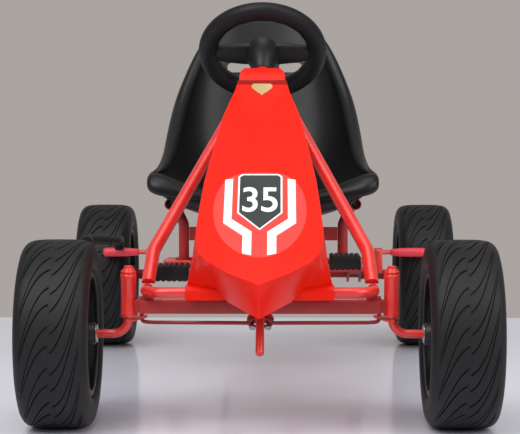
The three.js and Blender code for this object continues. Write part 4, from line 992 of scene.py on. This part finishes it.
@dataclass
class Knuckles:
    """The two stub axles, each with its steering arm, kingpin cap, washer and nut, and the tie rods."""

    pin: Pipe = Pipe(radius=5.95, bend=22, sides=28, steps=10)
    pin_top: float = 211.8
    pin_end: float = 303.6
    washer: Turning = Turning(((0, 6.2), (0, 12.4), (0.5, 12.9), (1.9, 12.9), (2.3, 12.4), (2.3, 6.2)))
    washer_x: float = 224.2
    nut: Outline = ((0, 5.9), (0, 8.6), (0.7, 9.4), (6.2, 9.4), (6.9, 8.6), (6.9, 5.9))
    nut_x: float = 298.45
    arm_eye: tuple[float, float] = (166.0, 40.0)
    arm_eye_radius: float = 8.0
    arm_root: float = 9.0
    arm_z: float = 146.4
    arm_thickness: float = 4.0
    arm_bore: Outline = ((-20, 0), (-20, 3.2), (20, 3.2), (20, 0))
    arm_bore_z: float = 148.0
    cap: Turning = Turning(((0, 0), (0, 9.9), (0.7, 10.5), (3.0, 10.5), (3.9, 9.8), (4.3, 8.4), (5.2, 8.2),
                            (6.8, 7.4), (7.2, 6.2), (9.9, 6), (10.3, 5.4), (10.3, 0)), steps=40, shade=38.0)
    cap_z: float = 212.65

    def arm(self, sign: int) -> Object:
        """A steering arm: a plate from the kingpin to the tie rod's joint.

        Args:
            sign: 1 for the left one, -1 for the right one.

        Returns:
            The arm.
        """
        eye_x, eye_y = self.arm_eye
        axis = Vector((eye_x - KINGPIN_X, eye_y, 0)).normalized()
        normal = Vector((axis.y, -axis.x, 0))
        corners = []
        for step in range(13):
            angle = math.pi * step / 12
            around = normal * self.arm_eye_radius * math.cos(angle) + axis * self.arm_eye_radius * math.sin(angle)
            spot = Vector((eye_x, eye_y, 0)) + around
            corners.append((spot.x, spot.y))
        for spot in (-normal * self.arm_root, -axis * self.arm_root, normal * self.arm_root):
            corners.append((KINGPIN_X + spot.x, spot.y))
        arm = plate([on_side((x, y, self.arm_z), sign) for x, y in corners], Z * self.arm_thickness)
        carved(arm, spun(self.arm_bore, at(sign * eye_x, eye_y, self.arm_bore_z), Z, steps=20))
        outward(arm)
        soften(arm, width=0.5, segments=2, angle=40.0)
        smooth(arm, 40.0)
        return arm

    def build(self) -> None:
        """Makes and dresses both knuckles."""
        for side, sign in SIDES:
            body, out = f"knuckle_{side}", Vector((sign, 0, 0))
            pin = self.pin.make([at(sign * KINGPIN_X, 0, self.pin_top), at(sign * KINGPIN_X, 0, AXLE_Z),
                                 at(sign * self.pin_end, 0, AXLE_Z)])
            smooth(pin, 40.0)
            dress(pin, f"stub_pin_{side}", RED_PAINT, body, f"stub_axle_{side}")
            dress(self.washer.make(at(sign * self.washer_x, 0, AXLE_Z), out), f"axle_washer_{side}", STEEL, body)
            dress(spun(self.nut, at(sign * self.nut_x, 0, AXLE_Z), out, steps=6), f"axle_nut_{side}", STEEL, body)
            dress(self.arm(sign), f"steering_arm_{side}", RED_PAINT, body)
            cap = self.cap.make(at(sign * KINGPIN_X, 0, self.cap_z), Z)
            dress(cap, f"kingpin_top_{side}", RED_PAINT, body, f"kingpin_cap_{side}")
            tie_rod = recast(f"tie_rod_{side}", width=0.5, angle=50.0)
            dress(tie_rod, f"tie_rod_bar_{side}", SHADED_RED_PAINT, f"tie_rod_{side}", f"tie_rod_{side}")


# ---------------------------------------------------------------- drive and brake


@dataclass
class Drive:
    """Cranks, pedals, chain wheels, chain, guard and the rear axle."""

    crank: Pipe = Pipe(radius=5.95, bend=13, sides=24, steps=8)
    crank_y: float = 210.0
    crank_z: float = 203.0
    throw: float = 88.0
    crank_inner: float = 91.0
    crank_end: float = 153.0

    def cranks(self) -> Object:
        """The bent crank rod, from pedal to pedal.

        Returns:
            The rod.
        """
        ahead, behind = self.crank_y - self.throw, self.crank_y + self.throw
        line = [(-self.crank_end, ahead), (-self.crank_inner, ahead), (-self.crank_inner, self.crank_y),
                (self.crank_inner, self.crank_y), (self.crank_inner, behind), (self.crank_end, behind)]
        bar = self.crank.make([at(x, y, self.crank_z) for x, y in line])
        soften(bar, width=1.0, segments=2, angle=60.0)
        smooth(bar, 40.0)
        return bar

    def build(self) -> None:
        """Makes and dresses the drive."""
        dress(self.cranks(), "crank_bar", RED_PAINT, "crank", "crank_rod")
        for side, _ in SIDES:
            pedal = recast(f"pedal_{side}", width=0.7, angle=40.0)
            dress(pedal, f"pedal_block_{side}", BLACK_PLASTIC, f"pedal_{side}", f"pedal_{side}")
        dress(recast("drive_sprocket", width=0.35, angle=60.0, segments=1),
              "chain_wheel", STEEL, "crank", "drive_sprocket")
        dress(recast("axle_sprocket", width=0.35, angle=60.0, segments=1),
              "axle_chain_wheel", STEEL, "rear_axle", "axle_sprocket")
        dress(recast("bottom_bracket", width=0.6, angle=50.0),
              "crank_housing", SHADED_RED_PAINT, "chassis", "bottom_bracket")
        dress(recast("chain_guard", width=1.0, angle=50.0, segments=3),
              "guard_cover", BLACK_PLASTIC, "chassis", "chain_guard")
        axle = recast("rear_axle", width=0.5, angle=50.0)
        smooth(axle, 62.0)
        dress(axle, "axle_shaft", SHADED_RED_PAINT, "rear_axle", "rear_axle")
        for node, finish in (("chain", CHAIN_STEEL), ("tie_rod_bolt_left", STEEL), ("tie_rod_bolt_right", STEEL)):
            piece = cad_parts[node]
            piece.data.materials.clear()
            piece.data.materials.append(finish.build())
            log.info("%s keeps its own form", node)


@dataclass
class Brake:
    """The brake bar, its two sleeves and the driver's lever."""

    sleeve: Turning = Turning(((0, 4.4), (0, 5.2), (1.5, 5.9), (20, 7.6), (30, 7.95), (56, 7.95), (60, 7.2),
                               (62, 5.6), (62, 4.4)), steps=36, shade=50.0)
    sleeve_start: Point = (225.0, 722.0, 182.0)
    lever_grain: float = 1.4

    def lever(self) -> Object:
        """The lever, its edges and joints run together as in one casting.

        Returns:
            The lever.
        """
        lever = recast("brake_lever", width=0.0)
        remesh = lever.modifiers.new("whole", "REMESH")
        remesh.mode, remesh.voxel_size = "VOXEL", self.lever_grain * MM
        ease = lever.modifiers.new("ease", "SMOOTH")
        ease.factor, ease.iterations = 0.5, 6
        apply_all(lever)
        smooth(lever, 60.0)
        return lever

    def build(self) -> None:
        """Makes and dresses the brake."""
        dress(recast("brake_bar", width=0.8, angle=50.0), "brake_rod", RED_PAINT, "brake", "brake_bar")
        for side, sign in SIDES:
            sleeve = self.sleeve.make(on_side(self.sleeve_start, sign), Vector((sign, 0, 0)))
            dress(sleeve, f"brake_grip_{side}", SLEEVE_RED, "brake", f"brake_sleeve_{side}")
        dress(self.lever(), "brake_handle", GRIP_BLACK, "brake", "brake_lever")


# ---------------------------------------------------------------- seat


@dataclass
class Seat:
    """The moulded bucket seat, with the rolls along its front edge and its sides.

    A station gives its middle's place, its rim's place and its half width as shares: how far back and how high the
    middle stands, the same of the rim, and the width. A lip point is (x, y, z, the roll's radius) in millimetres.
    """

    front_y: float = 415.0
    back_y: float = 800.0
    pan_z: float = 256.0
    top_z: float = 615.0
    half_width: float = 180.0
    edge_inset: float = 1.0
    wall: float = 9.0
    across: int = 28
    rise_power: float = 1.15
    stations: tuple[tuple[float, ...], ...] = (
        (0, 0.09, 0, 0.2, 0.98), (0.05, 0.035, 0.03, 0.225, 1), (0.24, 0, 0.22, 0.235, 0.92),
        (0.48, 0, 0.46, 0.36, 0.89), (0.64, 0.03, 0.6, 0.46, 0.86), (0.76, 0.12, 0.71, 0.56, 0.82),
        (0.83, 0.27, 0.78, 0.665, 0.745), (0.88, 0.46, 0.84, 0.775, 0.66), (0.93, 0.68, 0.9, 0.875, 0.55),
        (0.975, 0.87, 0.96, 0.95, 0.42), (1, 1, 0.99, 0.99, 0.3),
    )
    slot: Outline = ((26, 507), (30, 503), (62, 503), (67, 507), (67, 516), (62, 520), (30, 520), (26, 516))
    slot_y: float = 700.0
    slot_reach: float = 150.0
    rail_seat: Outline = ((-30, 0), (-30, 9.4), (300, 9.4), (300, 0))
    post_seat: Pipe = Pipe(radius=9.2, bend=17, sides=24, steps=6)
    post_seat_z: float = 200.0
    lip: tuple[tuple[float, float, float, float], ...] = (
        (187.0, 424, 320, 0.4), (186.6, 423, 320, 9), (184, 422.5, 319.5, 15.5), (177, 422, 318, 20),
        (163, 421, 315.5, 22), (143, 420.5, 310, 18.5), (118, 420, 303.5, 14), (88, 419.5, 297, 10.5),
        (50, 419, 291.5, 8.6), (0, 419, 289, 8),
    )
    lip_share: float = 0.62
    bolster_inset: float = 4.0
    bolster_radii: tuple[float, ...] = (0.4, 9.0, 11.5, 12.5, 12.5, 12.0, 11.0, 9.5, 8.0, 0.4)
    bolster_normal: Point = (0.0, 0.8, 0.6)

    def spot(self, x: float, back: float, high: float) -> Point:
        """A place in the seat in millimetres, from its x and its shares of the seat's depth and height."""
        return (x, self.front_y + back * (self.back_y - self.front_y), self.pan_z + high * (self.top_z - self.pan_z))

    def shell(self) -> Object:
        """The seat's shell, with its wall and its rounded rim.

        Returns:
            The shell.
        """
        obj = grid(self.across, len(self.stations) - 1)
        for number, vertex in enumerate(obj.data.vertices):
            station, step = divmod(number, self.across + 1)
            mid_y, mid_z, rim_y, rim_z, width = self.stations[station]
            angle = (step / self.across * 2 - 1) * math.pi / 2
            rise = (1 - math.cos(angle)) ** self.rise_power
            x = width * (self.half_width - self.edge_inset) * math.sin(angle)
            vertex.co = at(*self.spot(x, mid_y + (rim_y - mid_y) * rise, mid_z + (rim_z - mid_z) * rise))
        wall = obj.modifiers.new("wall", "SOLIDIFY")
        wall.thickness, wall.offset, wall.use_even_offset = self.wall * MM, -1.0, False
        refine(obj)
        apply_all(obj)
        outward(obj)
        return obj

    def bolster(self, sign: int) -> Object:
        """The roll along one side's rim.

        Args:
            sign: 1 for the left side, -1 for the right side.

        Returns:
            The roll.
        """
        path = []
        for (_, _, y, z, width), radius in zip(self.stations[1:], self.bolster_radii):
            x, rim_y, rim_z = self.spot(sign * (width * self.half_width - self.bolster_inset), y, z)
            path.append((x, rim_y, rim_z - self.bolster_inset, radius))
        return swept(path, Vector(self.bolster_normal))

    def build(self) -> None:
        """Makes and dresses the seat."""
        obj = self.shell()
        tools = []
        for sign in (-1, 1):
            tools.append(plate([at(sign * x, self.slot_y, z) for x, z in self.slot], Y * self.slot_reach))
            tools.append(spun(self.rail_seat, on_side(SEAT_RAIL, sign), Y, steps=28))
            (x, y, _), *others = SEAT_POST
            tools.append(self.post_seat.make([on_side(spot, sign) for spot in ((x, y, self.post_seat_z), *others)]))
        carved(obj, *tools)
        outward(obj)
        smooth(obj, 50.0)
        dress(obj, "bucket", SEAT_BLACK, "chassis", "seat")
        dress(swept(mirrored(self.lip), X, self.lip_share), "seat_front_roll", SEAT_BLACK, "chassis")
        for side, sign in SIDES:
            dress(self.bolster(sign), f"seat_bolster_{side}", SEAT_BLACK, "chassis")


# ---------------------------------------------------------------- hood


@dataclass
class Hood:
    """The pointed nose: a flat sloping panel with folded sides, a saddle on the hoop, and a cap.

    The crease is the panel's edge as (x, y) and the edge is the sides' lower edge, both from the top to the nose.
    Two tools open the shell over the hoop: a round one along it and a block under it. The saddle's outlines are its
    foot's two corners from the hoop's axis and the opening behind the nose. The cap laps the panel's top and has two
    cheeks, and its corners are cut off on the slant.
    """

    top_y: float = 297.0
    nose_reach: float = 175.0
    top_z: float = 481.8
    nose_z: float = 215.0
    wall: float = 3.0
    fold_width: float = 3.2
    fold_angle: float = 16.0
    crease: Outline = (
        (37.0, 297), (40.5, 273), (57.5, 200), (68.8, 118), (77.8, 47.5), (82.5, -13), (84.5, -50), (84.5, -72),
        (82.3, -95), (79.0, -115), (67.5, -131), (41.5, -152), (0.0, -175),
    )
    edge: tuple[Point, ...] = (
        (40.0, 298, 471.9), (44.5, 272, 451.0), (63.5, 198, 401.0), (75.5, 112, 338.0), (88.0, 75, 262.0),
        (98.0, 38, 190.0), (100.6, 8, 178.0), (100.6, -14.5, 182.0), (99.8, -38.0, 199.5), (84.0, -46.0, 199.6),
        (60.0, -51.5, 197.5), (43.0, -70, 181.0), (0.0, -150, 167.2),
    )
    hoop_clearance: Outline = ((-110, 0), (-110, 8.4), (110, 8.4), (110, 0))
    under_hoop: tuple[Point, Point] = ((-120, -50.4, 150), (120, -33.6, 190))
    saddle_reach: float = 100.5
    saddle_radius: float = 11.2
    saddle_bore: float = 8.4
    saddle_foot: Outline = ((-11.2, -9.0), (-8.5, -9.0))
    saddle_opening: Outline = ((-46, 160), (46, 160), (46, 186), (60, 210), (-60, 210), (-46, 186))
    opening_y: float = -64.0
    opening_reach: float = 44.0
    cap_half_width: float = 35.0
    cap_wall: float = 3.0
    cap_front: float = 289.0
    cap_lap: float = 4.0
    cap_back: Outline = ((312, 498), (318, 501))
    cap_under: Outline = ((318, 498), (314, 495))
    cheek_foot: tuple[float, float] = (318, 492)
    cheek_depth: float = 9.0
    cap_corner: Outline = ((24, 520), (27, 501.2), (33, 496), (35.4, 488), (60, 488), (60, 520))
    corner_y: float = 270.0
    corner_reach: float = 60.0
    groove: Outline = ((-37, 296.5), (37, 296.5), (38.6, 285), (-38.6, 285))
    groove_lift: float = 0.05
    groove_thickness: float = 0.3

    def height(self, y: float) -> float:
        """The panel's height above the floor at a distance behind the front axle, in millimetres."""
        return self.nose_z + (y + self.nose_reach) * (self.top_z - self.nose_z) / (self.top_y + self.nose_reach)

    def up(self) -> Vector:
        """The panel's outward direction."""
        slope = (self.top_z - self.nose_z) / (self.top_y + self.nose_reach)
        return Vector((0, -slope, 1)).normalized()

    def on_panel(self, x: float, y: float, lift: float) -> Vector:
        """A point on the panel, in metres, lifted off it by some millimetres."""
        return at(x, y, self.height(y)) + self.up() * lift * MM

    def shell(self) -> Object:
        """The folded shell: panel and walls with soft folds, thickened inwards and opened for the hoop.

        Returns:
            The shell.
        """
        obj = outlined([at(x, y, self.height(y)) for x, y in mirrored(self.crease)])
        count = len(obj.data.vertices)
        edit_all(obj)
        bpy.ops.mesh.select_mode(type="EDGE")
        bpy.ops.mesh.region_to_loop()
        bpy.ops.mesh.extrude_edges_move(TRANSFORM_OT_translate={"value": (0, 0, -self.wall * MM)})
        bpy.ops.mesh.select_mode(type="VERT")
        clear_choice()
        for vertex, corner in zip(obj.data.vertices[count:], mirrored(self.edge)):
            vertex.co = at(*corner)
        outward(obj)
        edit_all(obj)
        bpy.ops.mesh.select_all(action="DESELECT")
        bpy.ops.mesh.select_mode(type="FACE")
        bpy.ops.mesh.select_face_by_sides(number=4, type="EQUAL")
        bpy.ops.mesh.subdivide(number_cuts=3)
        clear_choice()
        folds = obj.modifiers.new("folds", "BEVEL")
        folds.width, folds.segments, folds.limit_method = self.fold_width * MM, 4, "ANGLE"
        folds.angle_limit = math.radians(self.fold_angle)
        skin = obj.modifiers.new("skin", "SOLIDIFY")
        skin.thickness, skin.offset, skin.use_even_offset = self.wall * MM, -1.0, True
        apply_all(obj)
        carved(obj, spun(self.hoop_clearance, at(0, HOOP_Y, HOOP_Z), X, steps=32), block(*self.under_hoop))
        smooth(obj, 30.0)
        return obj

    def saddle(self) -> Object:
        """The half pipe that sits over the hoop, out to the hood's widest corners, open behind the nose.

        Returns:
            The saddle.
        """
        outer, inner = (arc((0, 0), radius, 0.0, math.pi, 16) for radius in (self.saddle_radius, self.saddle_bore))
        section = [*outer, *self.saddle_foot, *reversed(inner)]
        piece = plate([at(-self.saddle_reach, HOOP_Y + y, HOOP_Z + z) for y, z in section], X * self.saddle_reach * 2)
        carved(piece, plate([at(x, self.opening_y, z) for x, z in self.saddle_opening], Y * self.opening_reach))
        outward(piece)
        smooth(piece, 40.0)
        return piece

    def cap(self) -> Object:
        """The cap round the steering column at the hood's top.

        Returns:
            The cap.
        """
        half, front, lap = self.cap_half_width, self.cap_front, self.top_y + self.cap_lap
        face, edge = self.height(front), self.height(lap)
        upper = [(front, face - 2), (lap - 2, edge - 4), (lap, edge), *self.cap_back]
        under = [*self.cap_under, (lap + 3, edge - 3), (front, face - 3)]
        roof = plate([at(-half, y, z) for y, z in upper + under], X * half * 2)
        cheek = [*upper, self.cheek_foot, (front, face - self.cheek_depth)]
        cheeks = [plate([at(x, y, z) for y, z in cheek], X * self.cap_wall) for x in (-half, half - self.cap_wall)]
        carved(roof, *cheeks, change=Change.ADD)
        corners = [plate([at(sign * x, self.corner_y, z) for x, z in self.cap_corner], Y * self.corner_reach)
                   for sign in (-1, 1)]
        carved(roof, *corners)
        outward(roof)
        soften(roof, width=0.8, segments=2, angle=40.0)
        smooth(roof, 35.0)
        return roof

    def build(self) -> None:
        """Makes and dresses the hood."""
        saddle, shell = self.saddle(), self.shell()
        dress(shell, "nose_shell", HOOD_RED, "chassis", "hood")
        dress(saddle, "nose_saddle", HOOD_RED, "chassis")
        dress(self.cap(), "hood_cap", HOOD_RED, "chassis")
        # The shade in the groove at the cap's front edge, painted as a thin dark red band on the panel.
        band = plate([self.on_panel(x, y, self.groove_lift) for x, y in self.groove],
                     self.up() * self.groove_thickness)
        dress(band, "hood_groove_shade", GROOVE_SHADE_RED, "chassis")


@dataclass
class Decals:
    """The race number with its field, stripes and shield on the hood's panel, and the bare badge.

    Outlines are in millimetres across the panel and behind the front axle. The layers lie on each other, each with
    its own height off the panel, and the type's values are the ones of the text that the number starts as.
    """

    hood: Hood
    field_half_width: float = 63.4
    field_y: float = -22.0
    field_up: float = 84.0
    field_down: float = 100.0
    field_square: float = 0.62
    stripe: Outline = ((38, 47.5), (49, 45), (49, -51), (22.5, -77.5), (22.5, -114), (10.5, -117.5), (10.5, -69),
                       (38, -42))
    rim: Outline = ((-25.4, 58), (25.4, 58), (30.7, 52.4), (30.7, -29), (0, -65.6), (-30.7, -29), (-30.7, 52.4))
    shield: Outline = ((-24, 55.2), (24, 55.2), (28.2, 51), (28.2, -28), (0, -62.2), (-28.2, -28), (-28.2, 51))
    number: str = "35"
    number_y: float = -3.0
    number_width: float = 48.0
    number_height: float = 63.0
    type_size: float = 0.09
    type_spacing: float = 0.98
    type_weight: float = 0.0011
    type_thickness: float = 0.00012
    base_lift: float = 0.02
    field_lift: float = 0.16
    stripe_lift: float = 0.30
    rim_lift: float = 0.32
    shield_lift: float = 0.46
    number_lift: float = 0.62
    badge_lift: float = 0.1
    badge: Outline = ((13, 286), (16, 281), (15.5, 275), (9, 266), (3.5, 260), (0, 255))
    badge_thickness: float = 1.1

    def field(self) -> Outline:
        """The pale field's oval outline, squarer at its top.

        Returns:
            Its corners.
        """
        points = []
        for step in range(96):
            angle = 2 * math.pi * step / 96
            high = math.sin(angle) > 0
            across = abs(math.cos(angle)) ** (self.field_square if high else 1.0)
            points.append((self.field_half_width * math.copysign(across, math.cos(angle)),
                           self.field_y + (self.field_up if high else self.field_down) * math.sin(angle)))
        return points

    def sticker(self, name: str, outline: Outline, lift: float, finish: Finish) -> None:
        """One thin decal on the panel.

        Args:
            name: the piece's name.
            outline: its corners.
            lift: how far its face stands off the panel, in millimetres.
            finish: its finish.
        """
        piece = plate([self.hood.on_panel(x, y, self.base_lift) for x, y in outline], self.hood.up() * lift)
        dress(piece, name, finish, "chassis")

    def digits(self) -> Object:
        """The race number, laid on the shield.

        Returns:
            The number, as one mesh.
        """
        clear_choice()
        bpy.ops.object.text_add()
        text = bpy.context.object.data
        text.body, text.size = self.number, self.type_size
        text.align_x, text.align_y = "CENTER", "CENTER"
        text.space_character, text.offset, text.extrude = self.type_spacing, self.type_weight, self.type_thickness
        bpy.ops.object.convert(target="MESH")
        obj = bpy.context.object
        up = self.hood.up()
        turn = Matrix((X, Vector((0, up.z, -up.y)), up)).transposed().to_4x4()
        fit = Matrix.Diagonal((self.number_width * MM / obj.dimensions.x, self.number_height * MM / obj.dimensions.y,
                               1.0, 1.0))
        place = Matrix.Translation(self.hood.on_panel(0, self.number_y, self.number_lift))
        obj.matrix_world = place @ turn @ fit
        settle(obj)
        outward(obj)
        return obj

    def build(self) -> None:
        """Makes and dresses the decals and the badge."""
        self.sticker("decal_field", self.field(), self.field_lift, DECAL_PALE)
        for side, sign in SIDES:
            stripe = [(sign * x, y) for x, y in self.stripe]
            self.sticker(f"decal_stripe_{side}", stripe, self.stripe_lift, DECAL_WHITE)
        self.sticker("decal_shield_rim", self.rim, self.rim_lift, DECAL_WHITE)
        self.sticker("decal_shield", self.shield, self.shield_lift, DECAL_GREY)
        dress(self.digits(), "decal_number", DECAL_WHITE, "chassis")
        badge = plate([self.hood.on_panel(x, y, self.badge_lift) for x, y in mirrored(self.badge)],
                      self.hood.up() * self.badge_thickness)
        soften(badge, width=0.5, segments=2, angle=40.0)
        dress(badge, "blank_badge", BADGE_GOLD, "chassis")


# ---------------------------------------------------------------- studio


@dataclass(frozen=True)
class Lamp:
    """One soft square lamp that looks at a point, in metres and watts."""

    name: str
    place: Point
    target: Point
    size: float
    power: float

    def build(self) -> None:
        """Makes the lamp."""
        light = bpy.data.lights.new(self.name, "AREA")
        light.size, light.energy = self.size, self.power
        obj = bpy.data.objects.new(self.name, light)
        bpy.context.scene.collection.objects.link(obj)
        obj.location = self.place
        obj.rotation_euler = (Vector(self.target) - Vector(self.place)).to_track_quat("-Z", "Y").to_euler()


@dataclass
class Studio:
    """The floor, the surroundings, the lamps and the camera, in metres and degrees."""

    lens: float = 121.9
    sensor: float = 36.0
    eye: Point = (0.026, -2.8175, 0.442)
    pitch: float = 3.6
    yaw: float = 0.62
    floor_size: float = 14.0
    floor_end: float = 0.85
    floor_rough: float = 0.12
    floor_colour: Point = (0.74, 0.75, 0.84)
    wall_colour: Point = (0.405, 0.372, 0.358)
    light_colour: Point = (0.86, 0.85, 0.87)
    light_strength: float = 0.55
    lamps: tuple[Lamp, ...] = (
        Lamp("key", (-1.6, -2.6, 3.0), (0, -0.1, 0.3), size=2.4, power=95.0),
        Lamp("fill", (2.4, -2.2, 2.2), (0, 0, 0.3), size=2.4, power=60.0),
        Lamp("top", (0.0, -0.9, 3.4), (0, 0.1, 0.2), size=2.2, power=40.0),
    )

    def floor(self) -> None:
        """The pale glossy floor, which ends behind the kart."""
        clear_choice()
        bpy.ops.mesh.primitive_plane_add(size=self.floor_size, location=(0, self.floor_end - self.floor_size / 2, 0))
        plane = bpy.context.object
        plane.name = "floor"
        settle(plane)
        material = bpy.data.materials.new("floor")
        material.use_nodes = True
        tune(material.node_tree.nodes["Principled BSDF"], Base_Color=(*self.floor_colour, 1.0),
             Roughness=self.floor_rough)
        plane.data.materials.append(material)

    def surroundings(self) -> None:
        """The world: an even light, which the camera and what shines see as a warm grey wall."""
        world = bpy.data.worlds.new("studio")
        bpy.context.scene.world = world
        world.use_nodes = True
        tree = world.node_tree
        kinds = ("ShaderNodeBackground", "ShaderNodeLightPath", "ShaderNodeMixShader", "ShaderNodeMath",
                 "ShaderNodeMath")
        seen, ray, choice, shine, clear = (tree.nodes.new(kind) for kind in kinds)
        shine.operation = clear.operation = "MAXIMUM"
        lit = tree.nodes["Background"]
        tune(lit, Color=(*self.light_colour, 1.0), Strength=self.light_strength)
        tune(seen, Color=(*self.wall_colour, 1.0))
        wire(tree, (ray, "Is Camera Ray", shine, 0), (ray, "Is Glossy Ray", shine, 1), (shine, "Value", clear, 0),
             (ray, "Is Transmission Ray", clear, 1), (clear, "Value", choice, "Fac"), (lit, "Background", choice, 1),
             (seen, "Background", choice, 2), (choice, "Shader", tree.nodes["World Output"], "Surface"))

    def build(self) -> None:
        """Makes the set, the lamps and the camera."""
        self.floor()
        self.surroundings()
        for lamp in self.lamps:
            lamp.build()
        camera = bpy.data.cameras.new("camera")
        camera.lens, camera.sensor_width = self.lens, self.sensor
        view = bpy.data.objects.new("camera", camera)
        scene = bpy.context.scene
        scene.collection.objects.link(view)
        view.location = self.eye
        view.rotation_euler = (math.radians(90 - self.pitch), 0, math.radians(self.yaw))
        scene.camera = view
        scene.view_settings.view_transform = "Standard"


def main() -> None:
    """Builds the kart and its studio."""
    logging.basicConfig(level=logging.INFO, format="%(name)s: %(message)s")
    hood = Hood()
    for assembly in (Studio(), Wheels(), Chassis(), SteeringColumn(), SteeringWheel(), Knuckles(), Drive(), Brake(),
                     Seat(), hood, Decals(hood)):
        log.info("building %s", type(assembly).__name__)
        assembly.build()
    clear_choice()


if __name__ == "__main__":
    main()
